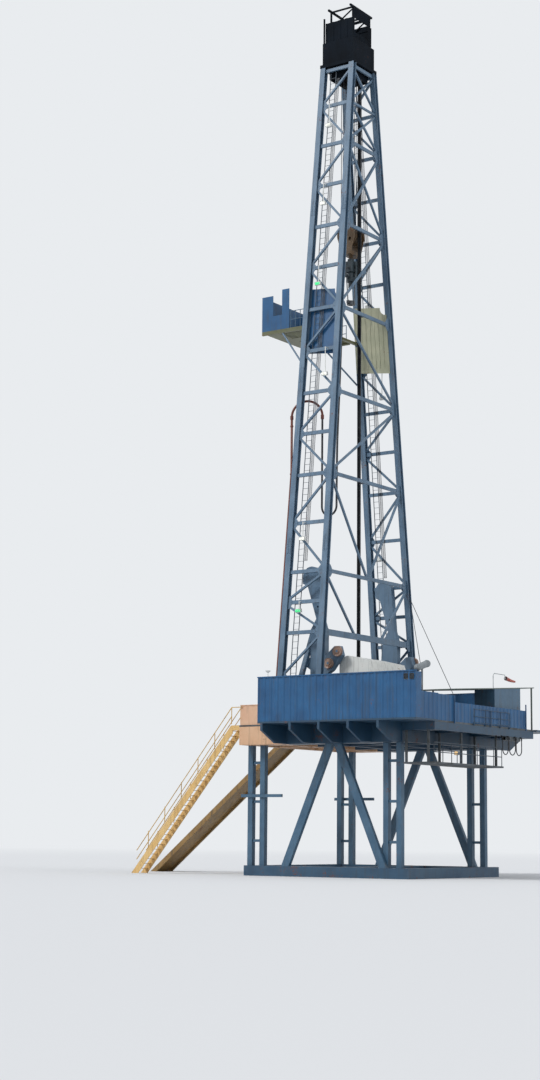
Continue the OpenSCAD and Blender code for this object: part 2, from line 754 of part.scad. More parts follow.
module guide_rail() color("#3b4048") {
  // Rail with a wider running flange, and its ties back to the heavy girts
  translate([0, 0, 20]) linear_extrude(mast_h - 96) union() {
    translate([rail_x, -rail_w / 2]) square([6, rail_w]);
    translate([rail_x + 5, -4]) square([13, 8]);
  }
  for (i = [0, 2, 4, 6]) {
    z = levels[i] - 6;
    block([rail_x + 18 + seat, -10, z], [back_x(z) - brace_t / 2 / cos(back_lean) - 2 * seat, 10, z + 10]);
  }
}

block_axle_z = block_top - sheave_d / 2 - 14;

// Sheave case: two cheek plates that taper down to the hanger, with the sheaves between
module travelling_block() color("#7a3a2a") {
  r = sheave_d / 2;
  for (y = [-62, 56])
    translate([0, y + 6, block_axle_z]) rotate([90, 0, 0]) linear_extrude(6) difference() {
      union() {
        circle(r = r + 12, $fn = 64);
        polygon([[-r - 12, 0], [r + 12, 0], [34, -130], [-34, -130]]);
      }
      for (x = [-1, 1]) translate([x * 30, -30]) circle(r = 11, $fn = 24);
    }
  translate([0, 0, block_axle_z]) rotate([90, 0, 0]) rotate_extrude($fn = 64)
    polygon(concat([[0, -66], [12, -66], [12, -50]],
      [for (i = [-2:2], p = [[20, -10], [20, -8], [r, -8], [r, -6], [r - 7, -2], [r - 7, 2], [r, 6], [r, 8], [20, 8], [20, 10]])
        [p[0], i * 20 + p[1]]],
      [[12, 50], [12, 66], [0, 66]]));
  block([-34, -57, block_axle_z - 130], [34, 57, block_axle_z - 104]);
  translate([0, 0, block_axle_z - 150]) cylinder(d = 26, h = 30);
}

drive_top = block_axle_z - 150 - seat;
drive_h = 190;
eye_z = drive_top - 118;
link_eye = 9;
pin_r = 7;

// Motor and gear housing on a carriage that runs along the guide rail
module top_drive() color("#2f4f5f") {
  translate([0, 0, drive_top - 22]) cylinder(d = 44, h = 22);
  block([-36, -40, drive_top - 92], [36, 40, drive_top - 22]);
  translate([0, 0, drive_top - 150]) cylinder(d = 62, h = 60, $fn = 48);
  translate([0, 0, drive_top - drive_h]) cylinder(d = 34, h = 42);
  translate([-6, 0, drive_top - 58]) rotate([0, 90, 0]) translate([0, 0, -62]) cylinder(d = 50, h = 60, $fn = 48);
  for (z = [-40, -140])
    block([20, -20, drive_top + z - 14], [rail_x - 2 * seat, 20, drive_top + z + 14]);
  block([rail_x - 10, -20, drive_top - 154], [rail_x - 2 * seat, 20, drive_top - 26]);
  // Arms whose pins carry the links
  both_sides() {
    block([-12, 26, eye_z - 8], [12, 47, eye_z + 12]);
    translate([0, 40, eye_z + link_eye - pin_r - seat]) rotate([-90, 0, 0]) {
      cylinder(r = pin_r, h = 20);
      translate([0, 0, 17]) cylinder(r = pin_r + 3, h = 3);
    }
  }
}

// Two links that hang from the drive's arms and the elevator between them
module elevator_links() color("#5a5d60") {
  low = eye_z - link_len;
  for (s = [-1, 1]) {
    translate([0, s * 52, eye_z]) rotate([-90, 0, 0]) rotate_extrude($fn = 32) translate([link_eye + 3, 0]) circle(d = 6);
    bar([0, s * 52, eye_z - link_eye - 3], [0, s * 34, low], 7);
  }
  translate([0, 0, low - 20]) difference() {
    union() {
      cylinder(d = 52, h = 24, $fn = 48);
      block([-9, -38, 4], [9, 38, 24]);
    }
    translate([0, 0, -1]) cylinder(d = 26, h = 26, $fn = 32);
  }
}

// Ten falls of line between the grooves of the crown's and the block's sheaves
module drilling_lines() color("#30343a") {
  x = sheave_d / 2 - 7 + 2 + seat;
  for (s = [-1, 1], i = [-2:2])
    translate([s * x, i * 20, block_axle_z]) cylinder(d = 4, h = crown_axle_z - block_axle_z, $fn = 8);
}

neck_z = 1940;
neck_in = [-30, -280];
neck_out = [-212, -352];
pipe_d = 15;
coupling_d = 21;

// Pipe between two couplings, its ends held inside them
module pipe_length(a, b) {
  u = (b - a) / norm(b - a) * 3;
  bar(a + u, b - u, pipe_d);
}

// Standpipe on the outside of the ramp side leg, and its neck over into the mast
module standpipe() color("#7b3b34") {
  o = leg / 2 + 13;
  bend = 1560;
  foot = [front_x(0) - o, -half_y(0), 1.3];
  p = [front_x(bend) - o, -half_y(bend), bend];
  q = [neck_out.x, neck_out.y, neck_z - 60];
  bar(foot, p - (p - foot) / norm(p - foot) * 3, pipe_d);
  pipe_length(p, q);
  for (c = [p, q]) translate(c) sphere(d = coupling_d);
  translate(q + [0, 0, 3]) cylinder(d = pipe_d, h = 54);
  translate([q.x, q.y, neck_z - 16]) cylinder(d = coupling_d, h = 22);
  span = neck_in - neck_out;
  translate([(neck_in.x + neck_out.x) / 2, (neck_in.y + neck_out.y) / 2, neck_z])
    rotate([90, 0, atan2(span.y, span.x)])
      rotate_extrude(angle = 180, $fn = 48) translate([norm(span) / 2, 0]) circle(d = pipe_d);
  translate([neck_in.x, neck_in.y, neck_z - 20]) cylinder(d = coupling_d, h = 26);
  for (z = [120:320:1400])
    block([front_x(z) - o, -half_y(z) - 6, z], [front_x(z) - leg / 2 - seat, -half_y(z) + 4, z + 12]);
}

// A lamp head on a rod, on an arm from the girt at height z, its middle lower by drop
module hung_lamp(x, z, drop) {
  y = -half_y(z - drop - 14) - 20;
  block([x - 2, y - 2, z - 2], [x + 2, -half_y(z) - brace_t / 2 / cos(lean) - 2 * seat, z + 2]);
  block([x - 2, y - 2, z - drop], [x + 2, y + 2, z - 2]);
  translate([x, y, z - drop - 12]) rotate([12, 0, 0]) {
    block([-17, -10, 0], [17, 8, 24]);
    block([-20, -14, 2], [20, -9, 22]);
  }
}

// Foot of the post with the long lamp head, beside the low wall
lamp_post = [side_x1 - wall - seat - 4.5, -side_y + wall_return + 28];

// Lamps on the mast, on the near wind wall and below the rear floor
module flood_lamps() color("#c9ccd0") {
  for (p = [[-48, 7, 146], [-51, 6, 131], [-47, 5, 117], [49, 4, 171], [-35, 2, 102], [-27, 1, 56]])
    hung_lamp(p.x, mid_level(p.y), p.z);
  mirror([0, 1, 0]) {
    hung_lamp(24, levels[4], 114);
    for (p = [[-65, 5, 124], [8, 4, 176], [-92, 2, 111]])
      hung_lamp(p.x, mid_level(p.y), p.z);
  }
  translate([side_x0 + 70, -side_y + 3, wall_h + 7 + seat]) {
    cylinder(d = 6, h = 24);
    translate([0, 0, 22]) cylinder(d1 = 10, d2 = 34, h = 12, $fn = 32);
  }
  translate([lamp_post.x, lamp_post.y, seat]) {
    cylinder(d = 9, h = low_wall_h + 130);
    translate([0, 0, low_wall_h]) {
      bar([-6, -42, 129], [6, 42, 157], 38);
      for (p = [[-6, -42, 129], [6, 42, 157]]) translate(p) sphere(d = 42);
    }
  }
  translate([floor_back - 50, -262, -237 + seat]) {
    cylinder(d = 5, h = 50);
    translate([-12, -14, 50]) cube([24, 28, 22]);
  }
}

// Two stays from the far rear leg down to the near rear corner
module tie_cables() color("#20242a") {
  z = 850;
  top = [back_x(z) + leg / 2 + 2, half_y(z), z];
  bar([floor_back - wall / 2, -384, low_wall_h + 2.6], top, 4, 8);
  bar([lamp_post.x - 3.1, lamp_post.y + 4.7, low_wall_h + 90], top + [0, 0, -12], 4, 8);
}

// Pole on the canopy with an arm, and a pin at the arm's end that the sock swings on
sock_x = 900;
pole_y = 205;
arm = 150;
arm_z = 325;
pin_d = 3;
pin_len = 28;
bow = 22;

module windsock_pole() color("#c8ccce") {
  base = canopy_top(pole_y + 2.5) + seat;
  tip = [sock_x, pole_y + arm, arm_z - pin_len];
  translate([sock_x, pole_y, base]) cylinder(d = 4, h = arm_z - bow - 1 - base);
  translate([sock_x, pole_y, arm_z - bow - 4]) cylinder(d = 6, h = 6);
  translate([sock_x, pole_y + bow, arm_z - bow]) rotate([90, 0, 90]) rotate([0, 0, 90])
    rotate_extrude(angle = 90, $fn = 48) translate([bow, 0]) circle(d = 4);
  translate([sock_x, pole_y + bow + 1, arm_z]) rotate([-90, 0, 0]) cylinder(d = 4, h = arm - bow + 1);
  translate([sock_x, pole_y + bow - 2, arm_z]) rotate([-90, 0, 0]) cylinder(d = 6, h = 6);
  translate(tip) cylinder(d = pin_d, h = pin_len);
  translate(tip) cylinder(d = 6, h = 2);
}

module windsock() color("#9c2f2a") {
  z = arm_z - pin_len + 8;
  difference() {
    union() {
      translate([sock_x, pole_y + arm, z - 5]) cylinder(d = 8, h = 10);
      translate([sock_x, pole_y + arm, z]) rotate([-90, 0, 0]) cylinder(d = 3, h = 16);
      translate([sock_x, pole_y + arm + 12, z]) rotate([-96, 0, 0]) cylinder(d1 = 26, d2 = 14, h = 120, $fn = 32);
    }
    translate([sock_x, pole_y + arm, z - 6]) cylinder(d = pin_d + 0.16, h = 12);
  }
}

base_skids();
post_frame_near();
post_frame_far();
slant_legs_near();
slant_legs_far();
floor_beams();
floor_plates();
rotary_table();
rear_platform();
rear_platform_rails();
pipe_ramp();
stair_stringers();
stair_treads();
stair_rails();
deck_brackets();
side_decks();
near_wind_wall();
far_wind_wall();
guard_panels();
floor_rails();
rear_fence();
drawworks_cover();
rear_cabin();
canopy();
mast_shoes();
near_legs();
far_legs();
near_lattice();
far_lattice();
back_lattice();
mast_wind_walls();
raising_frame_near();
raising_frame_far();
raising_sheaves();
ladders();
racking_board();
racking_fingers();
racking_rails();
racking_walls();
board_struts();
crown_frame();
crown_walls();
crown_gallows();
crown_sheaves();
guide_rail();
travelling_block();
top_drive();
elevator_links();
drilling_lines();
standpipe();
flood_lamps();
tie_cables();
windsock_pole();
windsock();
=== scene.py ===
"""Looks of the 1:10 land drilling rig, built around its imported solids. Lengths are metres."""

import bpy
import numpy as np
from mathutils import Matrix, Vector


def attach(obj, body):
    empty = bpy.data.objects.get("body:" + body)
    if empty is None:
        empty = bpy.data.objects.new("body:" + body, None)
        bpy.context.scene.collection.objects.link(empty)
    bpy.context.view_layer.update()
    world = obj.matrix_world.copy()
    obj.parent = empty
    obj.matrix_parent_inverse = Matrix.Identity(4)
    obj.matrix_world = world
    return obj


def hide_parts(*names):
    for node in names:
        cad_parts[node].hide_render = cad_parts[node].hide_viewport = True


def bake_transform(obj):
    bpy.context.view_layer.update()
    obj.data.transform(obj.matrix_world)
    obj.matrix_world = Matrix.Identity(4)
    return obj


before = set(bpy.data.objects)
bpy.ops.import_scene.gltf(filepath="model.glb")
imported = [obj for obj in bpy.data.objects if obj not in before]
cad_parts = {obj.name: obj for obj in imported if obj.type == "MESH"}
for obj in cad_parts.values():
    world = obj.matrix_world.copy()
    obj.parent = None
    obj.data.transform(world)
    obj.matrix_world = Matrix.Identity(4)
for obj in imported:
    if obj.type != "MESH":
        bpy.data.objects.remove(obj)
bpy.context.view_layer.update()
SCENE = bpy.context.scene
SCENE.view_settings.view_transform = "Standard"

GROUND = -0.9
BACKDROP = "#e9ecef"

# Camera, in model metres and degrees, at the photograph's place and angle
CAMERA_AT = (6.421, -10.102, -0.654)
CAMERA_TURN = 34.861
CAMERA_PITCH = 8.732
CAMERA_ROLL = 0.545
CAMERA_LENS = 63.88


def make_camera():
    """Camera turned about Z, tipped about its own X and rolled a little about its line of sight."""
    data = bpy.data.cameras.new("camera")
    data.sensor_fit = "VERTICAL"
    data.sensor_width = 36.0
    data.sensor_height = 36.0
    data.lens = CAMERA_LENS
    data.clip_start = 0.1
    data.clip_end = 500.0
    camera = bpy.data.objects.new("camera", data)
    turn = Matrix.Rotation(np.radians(CAMERA_TURN), 4, "Z")
    tip = Matrix.Rotation(np.radians(90.0 + CAMERA_PITCH), 4, "X")
    roll = Matrix.Rotation(np.radians(CAMERA_ROLL), 4, "Z")
    camera.matrix_world = Matrix.Translation(CAMERA_AT) @ turn @ tip @ roll
    SCENE.collection.objects.link(camera)
    SCENE.camera = camera


make_camera()


# Materials

# A cloud or cell texture's Scale is its count in a metre, and a wave texture draws 3.2 bands in a
# metre for each unit of Scale


def linear(hex_colour, alpha=1.0):
    """sRGB hex to linear: each channel c becomes c/12.92, or ((c+0.055)/1.055) to the power 2.4."""
    value = np.array([int(hex_colour[i:i + 2], 16) for i in (1, 3, 5)]) / 255.0
    out = np.where(value <= 0.04045, value / 12.92, ((value + 0.055) / 1.055) ** 2.4)
    return (*out.tolist(), alpha)


def put(tree, kind, links=None, **settings):
    """Adds a node, sets its properties or sockets by name, and links sockets to it."""
    node = tree.nodes.new(kind)
    for name, value in settings.items():
        if hasattr(node, name) and name not in node.inputs:
            setattr(node, name, value)
        else:
            node.inputs[name.replace("_", " ")].default_value = value
    for name, source in (links or {}).items():
        tree.links.new(source, node.inputs[name])
    return node


def new_material(name):
    """A node material that is empty but for its output, with its node tree and that output."""
    material = bpy.data.materials.new(name)
    material.use_nodes = True
    tree = material.node_tree
    tree.nodes.clear()
    return material, tree, tree.nodes.new("ShaderNodeOutputMaterial")


def ramp(tree, source, stops):
    """A colour ramp on a factor, stops as (place, hex or grey number)."""
    node = put(tree, "ShaderNodeValToRGB", {"Fac": source})
    cells = node.color_ramp.elements
    while len(cells) < len(stops):
        cells.new(0.5)
    for cell, (place, colour) in zip(cells, stops):
        cell.position = place
        cell.color = linear(colour) if isinstance(colour, str) else (colour,) * 3 + (1.0,)
    return node.outputs["Color"]


def mixed(tree, factor, a, b):
    """Mix of two colours; a and b are sockets or hex values."""
    node = put(tree, "ShaderNodeMix", data_type="RGBA")
    tree.links.new(factor, node.inputs[0])
    for place, colour in ((6, a), (7, b)):
        if isinstance(colour, str):
            node.inputs[place].default_value = linear(colour)
        else:
            tree.links.new(colour, node.inputs[place])
    return node.outputs[2]


def painted_steel(name, colour, faded, rust=0.5, gloss=0.45, streak=1.0, grime="#3a3a36",
                  ior=1.5, past=None):
    """Alkyd enamel sprayed on mild steel: slight fading in clouds 140 mm across, rain streaks 17 mm
    wide that run down, and rust freckles a few millimetres across that break through the film.
    past gives a second colour: (axis, place, colour, faded), which starts past that place on the axis; on
    the floor beams it is painted shadow."""
    material, tree, out = new_material(name)
    spot = put(tree, "ShaderNodeTexCoord").outputs["Object"]
    clouds = put(tree, "ShaderNodeTexNoise", {"Vector": spot}, Scale=7.0, Detail=5.0, Roughness=0.6)
    upright = put(tree, "ShaderNodeMapping", {"Vector": spot}, Scale=(60.0, 60.0, 5.0))
    rain = put(tree, "ShaderNodeTexNoise", {"Vector": upright.outputs[0]}, Scale=1.0, Detail=4.0)
    freckles = put(tree, "ShaderNodeTexNoise", {"Vector": spot}, Scale=95.0, Detail=8.0, Roughness=0.7)
    patches = put(tree, "ShaderNodeTexNoise", {"Vector": spot}, Scale=14.0, Detail=3.0)
    fade = ramp(tree, clouds.outputs["Fac"], [(0.35, 0.0), (0.7, 1.0)])
    body = mixed(tree, fade, colour, faded)
    if past:
        axis, place, second, second_faded = past
        apart = put(tree, "ShaderNodeSeparateXYZ", {"Vector": spot})
        beyond = put(tree, "ShaderNodeMath", {0: apart.outputs[axis]}, operation="GREATER_THAN")
        beyond.inputs[1].default_value = place
        body = mixed(tree, beyond.outputs[0], body, mixed(tree, fade, second, second_faded))
    dirt_fade = ramp(tree, rain.outputs["Fac"], [(0.5, 0.0), (0.78, 0.45 * streak)])
    body = mixed(tree, dirt_fade, body, grime)
    both = put(tree, "ShaderNodeMath", {0: freckles.outputs["Fac"], 1: patches.outputs["Fac"]},
               operation="MULTIPLY")
    low = 0.40 - 0.07 * rust
    rusty = ramp(tree, both.outputs[0], [(low, 0.0), (low + 0.05, 0.85 * min(1.0, rust + 0.3))])
    body = mixed(tree, rusty, body, "#6b3d24")
    rough = put(tree, "ShaderNodeMapRange", {"Value": rusty}, To_Min=gloss, To_Max=0.85)
    bump = put(tree, "ShaderNodeBump", {"Height": freckles.outputs["Fac"]}, Strength=0.12, Distance=0.002)
    shader = put(tree, "ShaderNodeBsdfPrincipled",
                 {"Base Color": body, "Roughness": rough.outputs[0], "Normal": bump.outputs[0]}, IOR=ior)
    tree.links.new(shader.outputs[0], out.inputs["Surface"])
    return material


def bare_metal(name, colour, shade, rough=0.4, grain=(8.0, 8.0, 120.0)):
    """Machined or worn bare steel: level grain 1.4 mm apart, drawn coarser than real so that it
    shows, and darker handled patches 40 mm across."""
    material, tree, out = new_material(name)
    spot = put(tree, "ShaderNodeTexCoord").outputs["Object"]
    along = put(tree, "ShaderNodeMapping", {"Vector": spot}, Scale=grain)
    lines = put(tree, "ShaderNodeTexNoise", {"Vector": along.outputs[0]}, Scale=6.0, Detail=6.0)
    clouds = put(tree, "ShaderNodeTexNoise", {"Vector": spot}, Scale=25.0, Detail=4.0)
    tint = mixed(tree, ramp(tree, clouds.outputs["Fac"], [(0.35, 0.0), (0.65, 1.0)]), colour, shade)
    grind = put(tree, "ShaderNodeMapRange", {"Value": lines.outputs["Fac"]},
                To_Min=rough - 0.1, To_Max=rough + 0.2)
    bump = put(tree, "ShaderNodeBump", {"Height": lines.outputs["Fac"]}, Strength=0.15, Distance=0.001)
    shader = put(tree, "ShaderNodeBsdfPrincipled",
                 {"Base Color": tint, "Roughness": grind.outputs[0], "Normal": bump.outputs[0]},
                 Metallic=0.8)
    tree.links.new(shader.outputs[0], out.inputs["Surface"])
    return material


def chequer_plate(name, colour, dark):
    """Rolled steel floor plate: raised lozenges turned 45 degrees, drawn 12 mm apart so that they
    show, and patches 110 mm across that boots and mud have worn dark."""
    material, tree, out = new_material(name)
    spot = put(tree, "ShaderNodeTexCoord").outputs["Object"]
    turned = put(tree, "ShaderNodeMapping", {"Vector": spot},
                 Scale=(85.0, 85.0, 85.0), Rotation=(0, 0, 0.785))
    lozenge = put(tree, "ShaderNodeTexVoronoi", {"Vector": turned.outputs[0]}, Scale=1.0, Randomness=0.0)
    mud = put(tree, "ShaderNodeTexNoise", {"Vector": spot}, Scale=9.0, Detail=8.0, Roughness=0.65)
    tint = mixed(tree, ramp(tree, mud.outputs["Fac"], [(0.4, 0.0), (0.66, 1.0)]), colour, dark)
    bump = put(tree, "ShaderNodeBump", {"Height": lozenge.outputs["Distance"]},
               Strength=0.35, Distance=0.002)
    shader = put(tree, "ShaderNodeBsdfPrincipled",
                 {"Base Color": tint, "Normal": bump.outputs[0]}, Roughness=0.6, Metallic=0.35)
    tree.links.new(shader.outputs[0], out.inputs["Surface"])
    return material


def wire_rope(name, colour, shade):
    """Six-strand wire rope: bright crowns of the strands wind round it 2 mm apart, with black grease
    between them and in patches 55 mm long."""
    material, tree, out = new_material(name)
    spot = put(tree, "ShaderNodeTexCoord").outputs["Object"]
    slant = put(tree, "ShaderNodeMapping", {"Vector": spot}, Rotation=(0.6, 0.5, 0.0))
    strands = put(tree, "ShaderNodeTexWave", {"Vector": slant.outputs[0]}, bands_direction="Z",
                  Scale=160.0, Distortion=0.4)
    grease = put(tree, "ShaderNodeTexNoise", {"Vector": spot}, Scale=18.0, Detail=5.0)
    lay = mixed(tree, strands.outputs["Fac"], shade, colour)
    body = mixed(tree, ramp(tree, grease.outputs["Fac"], [(0.4, 0.0), (0.62, 1.0)]), lay, shade)
    bump = put(tree, "ShaderNodeBump", {"Height": strands.outputs["Fac"]}, Strength=0.6, Distance=0.001)
    shader = put(tree, "ShaderNodeBsdfPrincipled", {"Base Color": body, "Normal": bump.outputs[0]},
                 Roughness=0.5, Metallic=0.6)
    tree.links.new(shader.outputs[0], out.inputs["Surface"])
    return material


def rubber(name, colour, chalk):
    """Black hose rubber wrapped in cloth at the works: a fine slanting print 3 mm apart, chalky in
    patches 33 mm across where it has aged."""
    material, tree, out = new_material(name)
    spot = put(tree, "ShaderNodeTexCoord").outputs["Object"]
    wrap = put(tree, "ShaderNodeTexWave", {"Vector": spot}, bands_direction="DIAGONAL",
               Scale=120.0, Distortion=1.0)
    age = put(tree, "ShaderNodeTexNoise", {"Vector": spot}, Scale=30.0, Detail=6.0)
    body = mixed(tree, ramp(tree, age.outputs["Fac"], [(0.42, 0.0), (0.7, 1.0)]), colour, chalk)
    bump = put(tree, "ShaderNodeBump", {"Height": wrap.outputs["Fac"]}, Strength=0.25, Distance=0.001)
    shader = put(tree, "ShaderNodeBsdfPrincipled", {"Base Color": body, "Normal": bump.outputs[0]},
                 Roughness=0.7)
    tree.links.new(shader.outputs[0], out.inputs["Surface"])
    return material


def sock_cloth(name, colour, faded):
    """Coated nylon of the windsock: a weave 1.1 mm apart, drawn coarser than real so that it shows,
    bleached by the sun in clouds 40 mm across, with a soft sheen."""
    material, tree, out = new_material(name)
    spot = put(tree, "ShaderNodeTexCoord").outputs["Object"]
    weave = put(tree, "ShaderNodeTexVoronoi", {"Vector": spot}, Scale=900.0, Randomness=0.1)
    sun = put(tree, "ShaderNodeTexNoise", {"Vector": spot}, Scale=24.0, Detail=4.0)
    body = mixed(tree, ramp(tree, sun.outputs["Fac"], [(0.35, 0.0), (0.7, 1.0)]), colour, faded)
    bump = put(tree, "ShaderNodeBump", {"Height": weave.outputs["Distance"]}, Strength=0.3, Distance=0.0005)
    shader = put(tree, "ShaderNodeBsdfPrincipled", {"Base Color": body, "Normal": bump.outputs[0]},
                 Roughness=0.8, Sheen_Weight=0.3)
    tree.links.new(shader.outputs[0], out.inputs["Surface"])
    return material


def lamp_glass(name, colour, strength):
    """Ribbed lamp glass in front of a lit reflector: brighter between ribs 3.5 mm apart, and dusty
    in spots 17 mm across."""
    material, tree, out = new_material(name)
    spot = put(tree, "ShaderNodeTexCoord").outputs["Object"]
    ribs = put(tree, "ShaderNodeTexWave", {"Vector": spot}, bands_direction="X", Scale=90.0)
    dust = put(tree, "ShaderNodeTexNoise", {"Vector": spot}, Scale=60.0, Detail=4.0)
    tint = mixed(tree, ramp(tree, dust.outputs["Fac"], [(0.4, 0.0), (0.75, 0.6)]), colour, "#8c8f88")
    power = put(tree, "ShaderNodeMapRange", {"Value": ribs.outputs["Fac"]},
                To_Min=strength * 0.6, To_Max=strength)
    shader = put(tree, "ShaderNodeBsdfPrincipled",
                 {"Base Color": tint, "Emission Color": tint, "Emission Strength": power.outputs[0]},
                 Roughness=0.2)
    tree.links.new(shader.outputs[0], out.inputs["Surface"])
    return material


def window_glass(name, colour, dust_colour):
    """Dark cabin glass with dust that has run down it in streaks 11 mm wide and 80 mm long."""
    material, tree, out = new_material(name)
    spot = put(tree, "ShaderNodeTexCoord").outputs["Object"]
    upright = put(tree, "ShaderNodeMapping", {"Vector": spot}, Scale=(90.0, 90.0, 12.0))
    streaks = put(tree, "ShaderNodeTexNoise", {"Vector": upright.outputs[0]}, Scale=1.0, Detail=5.0)
    dust = ramp(tree, streaks.outputs["Fac"], [(0.45, 0.0), (0.75, 0.7)])
    body = mixed(tree, dust, colour, dust_colour)
    rough = put(tree, "ShaderNodeMapRange", {"Value": dust}, To_Min=0.08, To_Max=0.55)
    shader = put(tree, "ShaderNodeBsdfPrincipled", {"Base Color": body, "Roughness": rough.outputs[0]},
                 IOR=1.5)
    tree.links.new(shader.outputs[0], out.inputs["Surface"])
    return material


# Finishes of the nodes and pieces, each under a short name
FINISH = {
    "navy": painted_steel("enamel_navy", "#26455e", "#35566e", rust=0.8),
    "deep": painted_steel("enamel_deep_blue", "#1d3c55", "#27485f", rust=0.7),
    # Floor beams: the cream up to X -0.085 is painted lamp light from the lamp by the stair, and the dark
    # blue past it is painted shadow of the house above
    "beams": painted_steel("enamel_beam_painted_lamp_light_and_shadow", "#c79c79", "#d6b08e", rust=0.6,
                           past=("X", -0.085, "#1d3c55", "#27485f")),
    "slate": painted_steel("enamel_slate_blue", "#35566f", "#4a6a82", rust=0.6),
    "house": painted_steel("enamel_house_blue", "#104873", "#1d5a88", rust=0.35),
    "mast": painted_steel("enamel_mast_grey_blue", "#4c677f", "#627b91", rust=0.5),
    "wind_walls": painted_steel("enamel_blue_and_primer_grey", "#104873", "#1d5a88", rust=0.4,
                                past=("Y", 0.0, "#9c9e86", "#b4b49b")),
    "cream": painted_steel("enamel_cream", "#cda183", "#dbb698", rust=0.5),
    "stair": painted_steel("enamel_stair_buff", "#d0a764", "#dcbb80", rust=0.55),
    "yellow": painted_steel("enamel_yellow", "#c0943c", "#cda957", rust=0.6),
    "ramp": painted_steel("enamel_ramp_ochre", "#85683a", "#97794a", rust=0.9, streak=1.6),
    "ladder": painted_steel("enamel_ladder_slate", "#2c3a47", "#3b4a57", rust=0.6),
    "block": painted_steel("enamel_block_brown", "#5a4630", "#6b553b", rust=0.8),
    "sheave": painted_steel("enamel_sheave_brown", "#8a6d5e", "#a58b7c", rust=0.7),
    "drive": painted_steel("enamel_drive_grey", "#2f3b42", "#3f4c52", rust=0.7),
    "lamp_body": painted_steel("enamel_lamp_white_and_grey", "#d5d8d4", "#e4e5e0", rust=0.4,
                               past=("X", 0.6, "#6f777c", "#868d91")),
    "white": painted_steel("enamel_white", "#d5d8d4", "#e4e5e0", rust=0.45),
    "grey": painted_steel("enamel_grey", "#8b9296", "#a0a6a8", rust=0.5),
    "olive": painted_steel("enamel_olive", "#55573b", "#696c4e", rust=0.7),
    "canopy": painted_steel("enamel_canopy_grey_green", "#55605c", "#68736e", rust=0.6),
    "rope": wire_rope("wire_rope", "#5d6166", "#22252a"),
    "hose": rubber("hose_rubber", "#24262b", "#4a4c50"),
    "cloth": sock_cloth("sock_nylon", "#a2352c", "#bf6a55"),
    "lamp_white": lamp_glass("lamp_glass_white", "#f3f4ea", 1.1),
    "lamp_green": lamp_glass("lamp_glass_green", "#3fe38c", 1.1),
    "lamp_warm": lamp_glass("lamp_glass_warm", "#f2c98a", 1.1),
    "window": window_glass("window_glass", "#141d26", "#6a7072"),
    "crown": painted_steel("enamel_crown_black", "#0a1017", "#111a24", rust=0.2, gloss=0.8, grime="#07090c",
                           ior=1.2),
    "rust": painted_steel("oxide_primer", "#5f2c22", "#74392b", rust=0.8),
    "red": painted_steel("enamel_red", "#a33324", "#b34a35", rust=0.5),
    "steel": bare_metal("worn_steel", "#6d7074", "#4b4e52"),
    "dark_steel": bare_metal("oiled_steel", "#3d4044", "#2a2c2f", rough=0.45),
    "plate": chequer_plate("chequer_plate", "#5a6167", "#3a3c3b"),
}

# Finish of each CAD node
NODE_FINISH = {
    "base_skids": "navy", "post_frame_near": "slate", "post_frame_far": "slate",
    "slant_legs_near": "slate", "slant_legs_far": "slate", "floor_beams": "beams",
    "floor_plates": "plate", "rotary_table": "dark_steel", "rear_platform": "plate",
    "rear_platform_rails": "ladder", "pipe_ramp": "ramp", "stair_stringers": "stair",
    "stair_treads": "stair", "stair_rails": "yellow", "deck_brackets": "deep",
    "side_decks": "deep", "near_wind_wall": "house", "far_wind_wall": "house",
    "guard_panels": "cream", "floor_rails": "yellow", "rear_fence": "house",
    "drawworks_cover": "white", "rear_cabin": "slate", "canopy": "canopy",
    "mast_shoes": "mast", "near_legs": "mast", "far_legs": "mast", "near_lattice": "mast",
    "far_lattice": "mast", "back_lattice": "mast", "mast_wind_walls": "wind_walls",
    "raising_frame_near": "mast", "raising_frame_far": "mast", "raising_sheaves": "sheave",
    "ladders": "ladder", "racking_board": "olive", "racking_fingers": "olive",
    "racking_rails": "slate", "racking_walls": "house", "board_struts": "mast",
    "crown_frame": "crown", "crown_walls": "crown", "crown_gallows": "crown",
    "crown_sheaves": "dark_steel", "guide_rail": "dark_steel", "travelling_block": "block",
    "top_drive": "drive", "elevator_links": "steel", "drilling_lines": "rope",
    "standpipe": "rust", "flood_lamps": "lamp_body", "tie_cables": "rope",
    "windsock_pole": "grey", "windsock": "red",
}


def dress_nodes():
    """Gives each CAD node's slots its finish."""
    for name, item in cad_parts.items():
        material = FINISH[NODE_FINISH.get(name, "mast")]
        if not item.material_slots:
            item.data.materials.append(material)
        for place in item.material_slots:
            place.material = material


dress_nodes()


# Shapes, each a pair of points and faces, of which piece() makes an object


def circle(count):
    """Angles of evenly spaced points round a circle."""
    return np.linspace(0, 2 * np.pi, count + 1)[:-1]


def stacked(x, y, z):
    """Points from three coordinates, each a number or an array."""
    return np.stack(np.broadcast_arrays(x, y, z), -1)


def smooth_path(points, count, steps=24):
    """Uniform Catmull-Rom curve through the points, a cubic between each two of them worked out at
    a few steps, then sampled evenly by its length."""
    p = np.asarray(points, float)
    p = np.vstack([2 * p[0] - p[1], p, 2 * p[-1] - p[-2]])
    t = np.linspace(0, 1, steps, endpoint=False)[:, None]
    rows = []
    for i in range(1, len(p) - 2):
        a, b, c, d = p[i - 1:i + 3]
        rows.append(0.5 * (2 * b + (c - a) * t + (2 * a - 5 * b + 4 * c - d) * t ** 2
                           + (3 * b - a - 3 * c + d) * t ** 3))
    line = np.vstack(rows + [p[-2:-1]])
    along = np.concatenate([[0], np.cumsum(np.linalg.norm(np.diff(line, axis=0), axis=1))])
    even = np.linspace(0, along[-1], count)
    return np.stack([np.interp(even, along, line[:, k]) for k in range(3)], 1)


